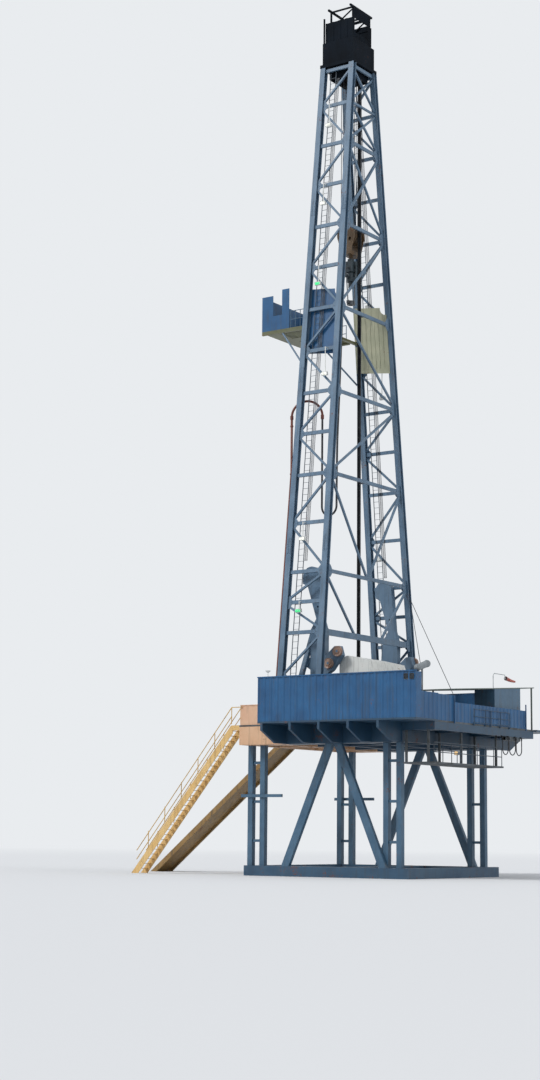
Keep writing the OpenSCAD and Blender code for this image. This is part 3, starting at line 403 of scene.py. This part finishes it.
def grid_faces(rows, columns, ring=True, closed=False):
    """Quads between the neighbouring points of a grid, row by row. ring joins each row's last point
    to its first, and closed joins the last row to the first."""
    i, j = np.meshgrid(np.arange(rows if closed else rows - 1),
                       np.arange(columns if ring else columns - 1), indexing="ij")
    up = (i + 1) % rows
    across = (j + 1) % columns
    quads = np.stack([i * columns + j, i * columns + across, up * columns + across, up * columns + j], -1)
    return quads.reshape(-1, 4).tolist()


def tube_faces(rings, sides):
    """Quads along a tube of rings, and one face that closes each end."""
    last = (rings - 1) * sides
    return grid_faces(rings, sides) + [list(range(sides))[::-1], list(range(last, last + sides))]


def swept(line, radius, sides=10):
    """Tube: a circle carried along the line by parallel transport, closed by one face at each end.
    radius is one number or one for each point of the line."""
    line = np.asarray(line, float)
    radius = np.broadcast_to(radius, len(line))
    tangent = np.gradient(line, axis=0)
    tangent /= np.linalg.norm(tangent, axis=1)[:, None]
    side = np.cross(tangent[0], (0.3, 0.2, 1.0) if abs(tangent[0][2]) < 0.9 else (1.0, 0.1, 0.0))
    angle = circle(sides)
    verts = []
    for point, along, r in zip(line, tangent, radius):
        side = side - along * np.dot(side, along)
        side /= np.linalg.norm(side)
        other = np.cross(along, side)
        verts.append(point + r * (np.cos(angle)[:, None] * side + np.sin(angle)[:, None] * other))
    return np.vstack(verts), tube_faces(len(line), sides)


def prism(outline, low, high, edge=0.0):
    """Upright prism on a counter-clockwise outline, its top edge drawn in by a small bevel: edge is
    the bevel's share of the width and of the height."""
    flat = np.asarray(outline, float)
    centre = flat.mean(0)
    inner = centre + (flat - centre) * (1 - edge)
    rings = [(flat, low), (flat, high - edge * (high - low)), (inner, high)]
    verts = np.vstack([stacked(ring[:, 0], ring[:, 1], z) for ring, z in rings])
    return verts, tube_faces(3, len(flat))


def rectangle(x0, x1, y0, y1):
    """Counter-clockwise outline of a rectangle."""
    return [(x0, y0), (x1, y0), (x1, y1), (x0, y1)]


def bolt_head(x, y, face, r, high):
    """Hexagonal bolt head with a chamfered top, which stands a height above a face and is sunk a
    tenth of a millimetre into it."""
    angle = circle(6)
    outline = np.stack([x + r * np.cos(angle), y + r * np.sin(angle)], 1)
    return prism(outline, face - 0.0001, face + high, 0.12)


def facing_x(shape, x):
    """A shape drawn on (y, z), with its height turned to point along X from the plane at x."""
    verts, faces = shape
    return verts[:, [2, 0, 1]] + (x, 0, 0), faces


def flipped(faces):
    """Faces turned to look the other way."""
    return [tuple(reversed(face)) for face in faces]


def mirrored(shape):
    """The same shape on the other side of the rig, its faces still outward."""
    verts, faces = shape
    return verts * (1, -1, 1), flipped(faces)


def joined(parts):
    """One mesh's vertices and faces from several."""
    verts = []
    faces = []
    start = 0
    for v, f in parts:
        verts.append(v)
        faces += [tuple(start + i for i in face) for face in f]
        start += len(v)
    return np.vstack(verts), faces


def piece(name, shape, material, body="structure", smooth=False):
    """A mesh object with one material. It rides on a body, or on none."""
    verts, faces = shape
    mesh = bpy.data.meshes.new(name)
    mesh.from_pydata(verts.tolist(), [], faces)
    mesh.materials.append(FINISH[material])
    mesh.polygons.foreach_set("use_smooth", [smooth] * len(mesh.polygons))
    thing = bpy.data.objects.new(name, mesh)
    SCENE.collection.objects.link(thing)
    if body:
        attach(thing, body)
    return thing


# Mast, repeated from the model: its height, the legs' places at its foot and top, how far each pair
# of legs leans in, the heights of the main girts and half a brace's thickness
MAST_H = 4.3
LOW_Y = 0.581
TOP_Y = 0.125
LOW_X = 0.141
FRONT_IN = 0.010
BACK_IN = 0.054
LEVELS = (0.555, 0.932, 1.545, 2.077, 2.630, 3.189, 3.748, 4.3)
LEAN = np.arctan((LOW_Y - TOP_Y) / MAST_H)
BACK_LEAN = np.arctan(BACK_IN / MAST_H)
BRACE = 0.006


def front_x(z):
    """Place of the ramp side legs at a height."""
    return -(LOW_X - FRONT_IN * z / MAST_H)


def back_x(z):
    """Place of the drawworks side legs at a height."""
    return LOW_X - BACK_IN * z / MAST_H


def half_y(z):
    """Distance of the legs from the mast's middle plane at a height."""
    return LOW_Y + (TOP_Y - LOW_Y) * z / MAST_H


def mid_level(i):
    """Height of the girt half way up a bay."""
    return (LEVELS[i] + (LEVELS[i - 1] if i else 0.0)) / 2


def to_side(verts):
    """From (x, distance up the leaning near side, outward) to the rig's frame."""
    x, s, n = verts.T
    return stacked(x, -LOW_Y + s * np.sin(LEAN) - n * np.cos(LEAN), s * np.cos(LEAN) + n * np.sin(LEAN))


def to_back(verts):
    """From (y, distance up the leaning back, outward) to the rig's frame."""
    y, s, n = verts.T
    x = LOW_X + n * np.cos(BACK_LEAN) - s * np.sin(BACK_LEAN)
    return stacked(x, y, n * np.sin(BACK_LEAN) + s * np.cos(BACK_LEAN))


def side_piece(name, parts, material, far, smooth=False):
    """One piece of parts that are drawn flat on a leaning side of the mast, named for its side. The far
    side is the near one mirrored."""
    verts, faces = joined(parts)
    shape = (to_side(verts), faces)
    side = "far" if far else "near"
    piece(name + "_" + side, mirrored(shape) if far else shape, material,
          smooth=smooth)


# Bolted plates: the gap that they stand off, the share of their bevel, the plates' thicknesses, half
# a leg's width with its gap, its outer face, the splices' heights and the distances of a splice plate's
# edges from the leg's middle, and each bolt head's radius and height
SEAT = 0.0001
PLATE_BEVEL = 0.04
GUSSET_THICK = 0.0016
GUSSET_BOLT = (0.0023, 0.0017)
SPLICE_THICK = 0.0018
SPLICE_BOLT = (0.0022, 0.0018)
LEG_HALF = 0.0185
LEG_FACE = 0.018
SPLICE_LEVELS = (1.10, 2.20, 3.32)
SPLICE_EDGES = (0.0015, 0.0165)


def gusset(x, s, way, tall=0.040, deep=0.046):
    """Bolted joint plate beside a leg: a six-cornered plate with a bevelled edge, and bolt heads
    in a row along the girt and a pair on each brace. way is +1 or -1, towards the bay."""
    root = 0.004
    corners = [(root, -tall), (deep * 0.55, -tall), (deep, -tall * 0.4), (deep, tall * 0.4),
               (deep * 0.55, tall), (root, tall)]
    outline = [(x + way * u, s + v) for u, v in corners]
    if way < 0:
        outline.reverse()
    base = BRACE + SEAT
    face = base + GUSSET_THICK
    row = [(share * deep, 0.0) for share in (0.52, 0.70, 0.88)]
    pairs = [(0.023, rise) for rise in (-0.022, -0.032, 0.022, 0.032)]
    heads = [bolt_head(x + way * u, s + v, face, *GUSSET_BOLT) for u, v in row + pairs]
    return joined([prism(outline, base, face, PLATE_BEVEL)] + heads)


def make_gussets():
    """Joint plates where braces meet: on the ramp side leg at each middle girt and on the
    drawworks side leg at each main girt, and at both ends of the back's main girts. One on the far
    side is narrow, beside a lamp's arm."""
    for far in (False, True):
        parts = []
        for i, level in enumerate(LEVELS):
            middle = mid_level(i)
            beside_lamp = far and i == 2
            parts.append(gusset(front_x(middle), middle / np.cos(LEAN), 1,
                                deep=0.038 if beside_lamp else 0.046))
            if level < MAST_H:
                parts.append(gusset(back_x(level), level / np.cos(LEAN), -1))
        side_piece("gussets", parts, "mast", far)
    parts = []
    for level in LEVELS[:-1]:
        edge = half_y(level) - LEG_HALF
        parts.append(gusset(-edge, level / np.cos(BACK_LEAN), 1))
        parts.append(gusset(edge, level / np.cos(BACK_LEAN), -1))
    verts, faces = joined(parts)
    piece("gussets_back", (to_back(verts), faces), "mast")


def splice(z, x, tall=0.05):
    """Field splice of a leg: two plates on the outer flange with six bolts each."""
    parts = []
    middle = z / np.cos(LEAN)
    pitch = tall / 3.1
    base = LEG_FACE + SEAT
    face = base + SPLICE_THICK
    for side in (-1, 1):
        u0, u1 = sorted(x + side * edge for edge in SPLICE_EDGES)
        parts.append(prism(rectangle(u0, u1, middle - tall, middle + tall), base, face, 0.03))
        row = x + side * sum(SPLICE_EDGES) / 2
        parts += [bolt_head(row, middle + pitch * (k - 2.5), face, *SPLICE_BOLT) for k in range(6)]
    return joined(parts)


def make_splices():
    """Splices where the mast's sections are pinned together, at three heights of each leg."""
    for far in (False, True):
        parts = []
        for z in SPLICE_LEVELS:
            parts.append(splice(z, front_x(z)))
            parts.append(splice(z, back_x(z)))
        side_piece("splices", parts, "mast", far)


# Lamps: x, height of the girt, drop to the lamp's middle, far side or not, glass
LAMPS = [
    (-0.048, mid_level(7), 0.146, False, "lamp_white"), (-0.051, mid_level(6), 0.131, False, "lamp_white"),
    (-0.047, mid_level(5), 0.117, False, "lamp_green"), (0.049, mid_level(4), 0.171, False, "lamp_white"),
    (-0.035, mid_level(2), 0.102, False, "lamp_white"), (-0.027, mid_level(1), 0.056, False, "lamp_green"),
    (0.024, LEVELS[4], 0.114, True, "lamp_white"), (-0.065, mid_level(5), 0.124, True, "lamp_green"),
    (0.008, mid_level(4), 0.176, True, "lamp_white"), (-0.092, mid_level(2), 0.111, True, "lamp_white"),
]

# Lamp heads of the mast: tilt in degrees, how far a head's foot stands out from the legs' line and
# below the lamp's middle, how far below the middle that line is read, and the glass's width, height
# and bulge and its place on the head
LAMP_TILT = 12.0
LAMP_OUT = 0.020
LAMP_BELOW = 0.012
LINE_BELOW = 0.014
GLASS_SIZE = (0.036, 0.017, 0.003)
GLASS_AT = (0, -0.0147, 0.012)

# Guards of the lamps: the wires' spacing and radius, and a bow's points as (y, z) on the head
GUARD_STEP = 0.007
GUARD_WIRE = 0.0005
GUARD_BOW = ((-0.0142, 0.0025), (-0.0185, 0.006), (-0.0195, 0.012), (-0.0185, 0.018), (-0.0142, 0.0215))

# Glass of the rear platform's lamp: width, height, bulge and place
PLATFORM_GLASS_SIZE = (0.021, 0.018, 0.003)
PLATFORM_GLASS_AT = (0.910, -0.2767, -0.176)


def lens(width, height, bulge, count=9, behind=0.0006):
    """Domed glass: a rounded rectangle grid that bulges by the product of two parabolas, closed
    behind by its own flat outline."""
    u, v = np.meshgrid(np.linspace(-1, 1, count), np.linspace(-1, 1, count))
    round_u = u * np.sqrt(1 - 0.18 * v ** 2)
    round_v = v * np.sqrt(1 - 0.18 * u ** 2)
    dome = -bulge * (1 - u ** 2) * (1 - v ** 2)
    front = stacked(round_u * width / 2, dome, round_v * height / 2).reshape(-1, 3)
    rear = front.copy()
    rear[:, 1] = behind
    n = count * count
    faces = grid_faces(count, count, ring=False)
    back = [[n + k for k in reversed(face)] for face in faces]
    rim = ([(0, k) for k in range(count)] + [(k, count - 1) for k in range(1, count)]
           + [(count - 1, k) for k in range(count - 2, -1, -1)] + [(k, 0) for k in range(count - 2, 0, -1)])
    loop = [i * count + j for i, j in rim]
    band = [(b, a, n + a, n + b) for a, b in zip(loop, loop[1:] + loop[:1])]
    return np.vstack([front, rear]), faces + back + band


def make_lamp_glass():
    """A domed glass and a guard of five wire bows on every lamp of the mast, and a glass on the
    platform's lamp."""
    tilt = np.radians(LAMP_TILT)
    turn = np.array([[1, 0, 0], [0, np.cos(tilt), -np.sin(tilt)], [0, np.sin(tilt), np.cos(tilt)]])
    for number, (x, z, drop, far, material) in enumerate(LAMPS):
        origin = np.array([x, -half_y(z - drop - LINE_BELOW) - LAMP_OUT, z - drop - LAMP_BELOW])
        verts, faces = lens(*GLASS_SIZE)
        glass = ((verts + GLASS_AT) @ turn.T + origin, faces)
        wires = []
        for k in range(-2, 3):
            bow = smooth_path([(GUARD_STEP * k, *place) for place in GUARD_BOW], 9)
            wires.append(swept(bow @ turn.T + origin, GUARD_WIRE, 5))
        guard = joined(wires)
        if far:
            glass = mirrored(glass)
            guard = mirrored(guard)
        piece("lamp_glass_%d" % number, glass, material, smooth=True)
        piece("lamp_guard_%d" % number, guard, "dark_steel")
    verts, faces = lens(*PLATFORM_GLASS_SIZE)
    piece("platform_lamp_glass", (verts + PLATFORM_GLASS_AT, faces), "lamp_warm",
          smooth=True)


# Conduits: places across each side of the mast with radius, the heights of their ends, their depth
# inside the girts' middle plane, the depths of a saddle's toe and heel, and its wire's radius
CONDUITS = ((-0.030, 0.0020), (-0.023, 0.0014), (-0.015, 0.0020))
CONDUIT_LOW = 1.0
CONDUIT_HIGH = 4.215
CONDUIT_DEPTH = -0.0085
TOE_DEPTH = -0.0065
HEEL_DEPTH = -0.0066
SADDLE_WIRE = 0.0005


def saddle(x, s, r):
    """Pipe saddle: a wire bent over the pipe in a half circle, with a straight foot on each side."""
    half = r + 0.0006
    deep = r + 0.0004
    heel = half + 0.0002
    toe = half + 0.0025
    bow = np.linspace(0, np.pi, 9)
    over = stacked(x + half * np.cos(bow), s, CONDUIT_DEPTH - deep * np.sin(bow))
    right = [(x + toe, s, TOE_DEPTH), (x + heel, s, HEEL_DEPTH)]
    left = [(x - heel, s, HEEL_DEPTH), (x - toe, s, TOE_DEPTH)]
    return swept(np.vstack([right, over, left]), SADDLE_WIRE, 5)


def make_conduits():
    """Steel conduits of the lamps' circuits, straight up the inside of each side's girts, held by
    a saddle at every girt and closed by a tapered gland at each end."""
    middles = [mid_level(i) for i in range(len(LEVELS))]
    levels = sorted(z for z in LEVELS + tuple(middles) if CONDUIT_LOW < z < CONDUIT_HIGH)
    low = CONDUIT_LOW / np.cos(LEAN)
    long = CONDUIT_HIGH / np.cos(LEAN) - low
    gland = np.array([0.0, 0.004, 0.010, 0.012])
    taper = np.array([0.7, 1.35, 1.35])
    along = np.concatenate([gland, np.linspace(0.02, long - 0.02, 40), (long - gland)[::-1]])
    for far in (False, True):
        parts = []
        for x, r in CONDUITS:
            width = np.full(len(along), r)
            width[:3] = r * taper
            width[-3:] = r * taper[::-1]
            parts.append(swept(stacked(x, low + along, CONDUIT_DEPTH), width, 8))
            parts += [saddle(x, z / np.cos(LEAN), r) for z in levels]
        side_piece("conduits", parts, "steel", far, smooth=True)


# Ribbed plates of the crown: the ribs' pitch and depth, the wall, and how far a crest stands out
RIB_PITCH = 0.016
RIB_DEEP = 0.0022
RIB_WALL = 0.0014
RIB_CREST = RIB_WALL + RIB_DEEP / 2

# Their drawworks side: its plane, half its width, the heights of its foot, of the opening's sill and
# head and of its top, the opening's two edges, and the bolt heads' radius and height
CROWN_X = 0.0792
CROWN_EDGE = 0.106
CROWN_LOW = 4.474
CROWN_SILL = 4.520
CROWN_HEAD = 4.615
CROWN_HIGH = 4.689
OPENING_FROM = -0.092
OPENING_TO = 0.075
CROWN_BOLT = (0.0018, 0.0015)

# Their far side: its two ends, the lower plate's foot, the slit's two edges, and each plate's plane
FAR_FROM = -0.100
FAR_TO = 0.0775
FAR_LOW = 4.600
SLIT_LOW = 4.637
SLIT_HIGH = 4.668
FAR_LOW_PLANE = 0.1038
FAR_HIGH_PLANE = 0.1042


def ribbed_plate(y0, y1, z0, z1, x, deep=RIB_DEEP, wall=RIB_WALL):
    """Trapezoid-ribbed plate: its face is x plus a clipped sine of y, and the second face lies one
    wall behind; the four edges are closed by bands between the two."""
    y = np.linspace(y0, y1, max(3, int((y1 - y0) / RIB_PITCH * 8)))
    wave = np.clip(1.6 * np.sin(2 * np.pi * y / RIB_PITCH), -1, 1) * deep / 2
    n = len(y)
    rows = [stacked(x + shift + wave, y, z) for shift in (0.0, wall) for z in (z0, z1)]
    a, b, c, d = (k * n for k in range(4))
    faces = []
    for j in range(n - 1):
        faces += [(a + j, b + j, b + j + 1, a + j + 1), (c + j, c + j + 1, d + j + 1, d + j),
                  (b + j, d + j, d + j + 1, b + j + 1), (a + j, a + j + 1, c + j + 1, c + j)]
    faces += [(a, c, d, b), (a + n - 1, b + n - 1, d + n - 1, c + n - 1)]
    return np.vstack(rows), faces


def make_crown_back():
    """Ribbed plates that close the crown's drawworks side behind the gallows posts, with an opening
    below the cross beam, plates on the far side that leave a slit over the wall, and bolt heads."""
    plates = [ribbed_plate(-CROWN_EDGE, CROWN_EDGE, CROWN_LOW, CROWN_SILL, CROWN_X),
              ribbed_plate(-CROWN_EDGE, CROWN_EDGE, CROWN_HEAD, CROWN_HIGH, CROWN_X),
              ribbed_plate(-CROWN_EDGE, OPENING_FROM, CROWN_SILL, CROWN_HEAD, CROWN_X),
              ribbed_plate(OPENING_TO, CROWN_EDGE, CROWN_SILL, CROWN_HEAD, CROWN_X)]
    piece("crown_back_plates", joined(plates), "crown")
    far_plates = [ribbed_plate(FAR_FROM, FAR_TO, SLIT_HIGH, CROWN_HIGH, FAR_HIGH_PLANE),
                  ribbed_plate(FAR_FROM, FAR_TO, FAR_LOW, SLIT_LOW, FAR_LOW_PLANE, deep=0.0012, wall=0.001)]
    verts, faces = joined(far_plates)
    piece("crown_far_plates", (verts[:, [1, 0, 2]], flipped(faces)), "crown")
    heads = [bolt_head(y, z, RIB_CREST, *CROWN_BOLT)
             for z in (CROWN_LOW + 0.006, CROWN_HIGH - 0.006)
             for y in np.arange(-CROWN_EDGE + 0.012, CROWN_EDGE, RIB_PITCH)]
    piece("crown_back_bolts", facing_x(joined(heads), CROWN_X), "dark_steel")


# Face of the floor's rear beam, and the pipe railing outside it: its plane, the posts' places across
# the rig, how far the rails reach past them, the rails' heights, the posts' ends, the radii, and a
# foot plate's half width, two edges and thickness
REAR_FACE = 0.9602
FENCE_X = 0.9668
FENCE_POSTS = (-0.155, -0.017, 0.051, 0.170, 0.290)
FENCE_PAST = 0.004
FENCE_RAILS = (0.085, 0.043, 0.007)
POST_LOW = -0.0085
POST_HIGH = 0.088
RAIL_R = 0.0020
POST_R = 0.0024
FOOT_HALF = 0.008
FOOT_LOW = -0.0095
FOOT_HIGH = -0.0005
FOOT_THICK = 0.0045


def make_fence_rail():
    """Pipe railing outside the rear fence: three level rails on five posts, each post on a foot
    plate on the floor's edge."""
    parts = []
    run = np.linspace(FENCE_POSTS[0] - FENCE_PAST, FENCE_POSTS[-1] + FENCE_PAST, 24)
    for z in FENCE_RAILS:
        parts.append(swept(stacked(FENCE_X, run, z), RAIL_R, 10))
    rise = np.linspace(POST_LOW, POST_HIGH, 12)
    width = np.full(12, POST_R)
    width[-1] = 0.0014
    for y in FENCE_POSTS:
        parts.append(swept(stacked(FENCE_X, y, rise), width, 10))
        foot = rectangle(y - FOOT_HALF, y + FOOT_HALF, FOOT_LOW, FOOT_HIGH)
        parts.append(facing_x(prism(foot, 0.0, FOOT_THICK, 0.05), REAR_FACE))
    piece("fence_rail", joined(parts), "deep")


# Service hoses under the rear beam: their two ends across the rig, the plane they hang in, the height
# of their ends and of their lowest point, their radius, the elbows' height on the beam, and the
# bend's middle and radius
SERVICE_HOSES = ((0.190, 0.262), (0.275, 0.355), (0.366, 0.436))
SERVICE_X = 0.9685
SERVICE_Z = -0.072
SERVICE_LOW = -0.166
SERVICE_R = 0.003
ELBOW_Z = -0.0570
BEND_X = 0.9635
BEND_Z = -0.0620
BEND_R = 0.005


def make_service_hoses():
    """Three short hydraulic hoses that hang in loops between elbows on the rear beam's face: a
    straight run down, half a circle and a straight run up."""
    sweep = np.radians(np.linspace(180, 360, 13))
    bend = np.radians(np.linspace(90, 0, 7))
    width = np.array([0.0052, 0.0052] + [0.0032] * 7 + [0.0042, 0.0042])
    for number, (first, last) in enumerate(SERVICE_HOSES):
        middle = (first + last) / 2
        r = (last - first) / 2
        drop = SERVICE_LOW + r
        points = [(SERVICE_X, first, z) for z in (SERVICE_Z, -0.084, -0.096, -0.108)]
        points += [(SERVICE_X, middle + r * np.cos(a), drop + r * np.sin(a)) for a in sweep]
        points += [(SERVICE_X, last, z) for z in (-0.108, -0.096, -0.084, SERVICE_Z)]
        line = smooth_path(points, 60)
        hose = piece("service_hose_%d" % number, swept(line, SERVICE_R, 12), "hose",
                     smooth=True)
        elbows = []
        for y in (first, last):
            out = [(REAR_FACE, y, ELBOW_Z), (0.9630, y, ELBOW_Z)]
            out += [(BEND_X + BEND_R * np.cos(a), y, BEND_Z + BEND_R * np.sin(a)) for a in bend]
            out += [(SERVICE_X, y, -0.0660), (SERVICE_X, y, -0.0740)]
            elbows.append(swept(out, width, 12))
        piece("service_elbows_%d" % number, joined(elbows), "dark_steel", smooth=True)


# Windows of the near wind wall: their middles, the panes' size and plane, and the rubber strip's half
# width, half height, plane and radius
WINDOWS_X = (0.919, 0.957)
WINDOWS_Z = 0.2295
PANE_SIZE = (0.0276, 0.0326, 0.0012)
PANE_PLANE = -0.8572
STRIP_W = 0.0125
STRIP_H = 0.0150
STRIP_PLANE = -0.8605
STRIP_R = 0.0014


def make_windows():
    """Two dusty panes in the near wind wall, each in a rounded rubber strip. The strip's path is a
    superellipse: sine and cosine, each raised to a power of 0.35 with its sign kept."""
    angle = np.linspace(0, 2 * np.pi, 41)
    across, up = (np.sign(wave) * np.abs(wave) ** 0.35 for wave in (np.cos(angle), np.sin(angle)))
    for number, x in enumerate(WINDOWS_X):
        verts, faces = lens(*PANE_SIZE)
        piece("window_pane_%d" % number, (verts + (x, PANE_PLANE, WINDOWS_Z), faces), "window",
              smooth=True)
        ring = stacked(x + STRIP_W * across, STRIP_PLANE, WINDOWS_Z + STRIP_H * up)
        piece("window_strip_%d" % number, swept(ring, STRIP_R, 8), "hose",
              smooth=True)


def make_rotary_hose():
    """The mud hose: down from the neck, round a loop and up to the top drive's near face, as a
    smooth curve through chosen points with an arc at the loop and at the upper end."""
    loop = np.radians(np.linspace(180, 360, 9))
    turn = np.radians(np.linspace(14, 90, 6))
    points = [(-0.030, -0.280, z) for z in (1.921, 1.86, 1.74, 1.60, 1.48, 1.40)]
    points += [(0.024 + 0.054 * np.cos(a), -0.280, 1.36 + 0.056 * np.sin(a)) for a in loop]
    points += [(0.078, -0.280, 1.40), (0.078, -0.279, 1.50), (0.076, -0.274, 1.64), (0.071, -0.260, 1.82),
               (0.060, -0.224, 2.10), (0.045, -0.183, 2.40), (0.027, -0.139, 2.68), (0.016, -0.112, 2.83)]
    points += [(0.012 - 0.002 * k / 5, -0.039 - 0.058 * np.cos(a), 2.897 + 0.058 * np.sin(a))
               for k, a in enumerate(turn)]
    line = smooth_path(points, 150)
    hose = piece("rotary_hose", swept(line, 0.0065, 14), "hose", body=None, smooth=True)
    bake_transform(hose)


# Drilling lines: five falls on each side of the sheaves, their radius, and the heights of their ends
# and of the block's top
FALL_X = 0.05015
FALL_PITCH = 0.020
FALL_R = 0.0020
FALL_TOP = 4.400
FALL_END = 3.171


def make_drilling_lines():
    """Ten taut falls of wire rope, straight tubes of many rings between the crown and the block."""
    rise = np.linspace(FALL_TOP, FALL_END, 60)
    falls = [swept(stacked(side * FALL_X, i * FALL_PITCH, rise), FALL_R, 10)
             for side in (-1, 1) for i in range(-2, 3)]
    ropes = piece("drilling_ropes", joined(falls), "rope", body=None, smooth=True)
    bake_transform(ropes)
    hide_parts("drilling_lines")


# Windsock: the swivel's axis and middle height, the hoop's distance from the axis, its radius and its
# wire's, the spoke's radius, and the cloth's length, what its radius loses towards the tail, its droop
# in degrees, its sag and its deepest fold
SOCK_X = 0.9
SOCK_Y = 0.355
SOCK_Z = 0.305
HOOP_OUT = 0.013
HOOP_R = 0.0125
HOOP_WIRE = 0.0006
SPOKE_R = 0.0011
SOCK_LONG = 0.118
SOCK_TAPER = 0.006
SOCK_DROOP = 6.0
SOCK_SAG = 0.0025
SOCK_FOLD = 0.16


def sock_cone(rings=41, sides=48):
    """The windsock's cloth: a cone, round at the mouth, slack towards the tail with five folds that
    grow by the square of the way along and wind round a little, and a sag of half a sine."""
    t = np.arange(rings)[:, None] / (rings - 1)
    a = circle(sides)
    droop = np.radians(SOCK_DROOP)
    fold = 1 - SOCK_FOLD * t ** 2 * (1 + np.sin(5 * a + 3 * t)) / 2
    r = (HOOP_R - SOCK_TAPER * t) * fold
    middle = SOCK_Z - SOCK_LONG * t * np.sin(droop) - SOCK_SAG * np.sin(np.pi * t)
    verts = stacked(SOCK_X + r * np.cos(a), SOCK_Y + HOOP_OUT + SOCK_LONG * t * np.cos(droop),
                    middle + r * np.sin(a))
    return verts.reshape(-1, 3), flipped(grid_faces(rings, sides))


def sock_hub(sides=24):
    """The windsock's hub: a closed profile of radius and height turned round the swivel's axis."""
    profile = [(0.0016, -0.005), (0.0035, -0.005), (0.0040, -0.0042), (0.0040, 0.0042), (0.0035, 0.005),
               (0.0016, 0.005)]
    r, up = np.transpose(profile)
    a = circle(sides)[:, None]
    verts = stacked(SOCK_X + r * np.cos(a), SOCK_Y + r * np.sin(a), SOCK_Z + up)
    return verts.reshape(-1, 3), flipped(grid_faces(sides, len(profile), closed=True))


def sock_hoop():
    """The mouth's wire hoop, two wires that cross it, and the spoke that holds it to the hub."""
    mouth = SOCK_Y + HOOP_OUT
    reach = HOOP_R - HOOP_WIRE / 2
    angle = np.linspace(0, 2 * np.pi, 41)
    hoop = stacked(SOCK_X + HOOP_R * np.cos(angle), mouth, SOCK_Z + HOOP_R * np.sin(angle))
    spoke = [(SOCK_X, SOCK_Y + out, SOCK_Z) for out in (0.0045, 0.009, HOOP_OUT)]
    level = [(SOCK_X - reach, mouth, SOCK_Z), (SOCK_X, mouth + 0.0002, SOCK_Z),
             (SOCK_X + reach, mouth, SOCK_Z)]
    upright = [(SOCK_X, mouth, SOCK_Z - reach), (SOCK_X, mouth + 0.0002, SOCK_Z),
               (SOCK_X, mouth, SOCK_Z + reach)]
    return joined([swept(hoop, HOOP_WIRE, 8), swept(spoke, SPOKE_R, 8), swept(level, HOOP_WIRE, 6),
                   swept(upright, HOOP_WIRE, 6)])


def make_windsock():
    """Cloth cone, hoop and hub, which turn on the pole's head."""
    cloth = piece("windsock_cloth", sock_cone(), "cloth", body="sock", smooth=True)
    frame_piece = piece("windsock_hoop", sock_hoop(), "grey", body="sock", smooth=True)
    piece("windsock_hub", sock_hub(), "grey", body="sock")
    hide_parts("windsock")


make_rotary_hose()
make_service_hoses()
make_drilling_lines()
make_conduits()
make_crown_back()
make_fence_rail()
make_gussets()
make_splices()
make_lamp_glass()
make_windows()
make_windsock()


# Floor, lights and background

# The floor's radius, and the distances between which it fades
FLOOR_R = 150.0
FADE_FROM = 7.0
FADE_TO = 22.0


def make_floor():
    """A pale disc that takes the shadow near the rig and fades to the background colour far away."""
    material, tree, out = new_material("pale_floor")
    spot = put(tree, "ShaderNodeTexCoord").outputs["Object"]
    away = put(tree, "ShaderNodeVectorMath", {0: spot}, operation="LENGTH")
    far = put(tree, "ShaderNodeMapRange", {"Value": away.outputs["Value"]},
              interpolation_type="SMOOTHSTEP", From_Min=FADE_FROM, From_Max=FADE_TO)
    near = put(tree, "ShaderNodeBsdfDiffuse", Color=linear("#dfe1e3"))
    glow = put(tree, "ShaderNodeEmission", Color=linear(BACKDROP))
    both = put(tree, "ShaderNodeMixShader", {0: far.outputs[0], 1: near.outputs[0], 2: glow.outputs[0]})
    tree.links.new(both.outputs[0], out.inputs["Surface"])
    angle = circle(96)
    ring = stacked(FLOOR_R * np.cos(angle), FLOOR_R * np.sin(angle), GROUND - 0.0005)
    mesh = bpy.data.meshes.new("floor")
    mesh.from_pydata(ring.tolist(), [], [list(range(len(ring)))])
    mesh.materials.append(material)
    floor = bpy.data.objects.new("floor", mesh)
    SCENE.collection.objects.link(floor)


def make_world():
    """Camera, mirror and glass rays see the pale background; other rays get a softer light."""
    world = bpy.data.worlds.new("studio")
    SCENE.world = world
    world.use_nodes = True
    tree = world.node_tree
    tree.nodes.clear()
    path = put(tree, "ShaderNodeLightPath")
    seen = path.outputs["Is Camera Ray"]
    for kind in ("Is Glossy Ray", "Is Transmission Ray"):
        seen = put(tree, "ShaderNodeMath", {0: seen, 1: path.outputs[kind]}, operation="MAXIMUM").outputs[0]
    light = put(tree, "ShaderNodeBackground", Color=linear("#f4f6fa"), Strength=0.62)
    shown = put(tree, "ShaderNodeBackground", Color=linear(BACKDROP), Strength=1.0)
    both = put(tree, "ShaderNodeMixShader", {0: seen, 1: light.outputs[0], 2: shown.outputs[0]})
    put(tree, "ShaderNodeOutputWorld", {"Surface": both.outputs[0]})


def make_sun(name, azimuth, height, strength, spread):
    """A soft far lamp that shines from an azimuth and height in degrees."""
    data = bpy.data.lights.new(name, "SUN")
    data.energy = strength
    data.angle = np.radians(spread)
    lamp = bpy.data.objects.new(name, data)
    a = np.radians(azimuth)
    e = np.radians(height)
    back = Vector((np.sin(a) * np.cos(e), -np.cos(a) * np.cos(e), np.sin(e)))
    lamp.rotation_mode = "QUATERNION"
    lamp.rotation_quaternion = back.to_track_quat("Z", "Y")
    SCENE.collection.objects.link(lamp)


make_floor()
make_world()
make_sun("key_light", azimuth=-25.0, height=42.0, strength=1.7, spread=14.0)
make_sun("fill_light", azimuth=95.0, height=25.0, strength=0.55, spread=30.0)
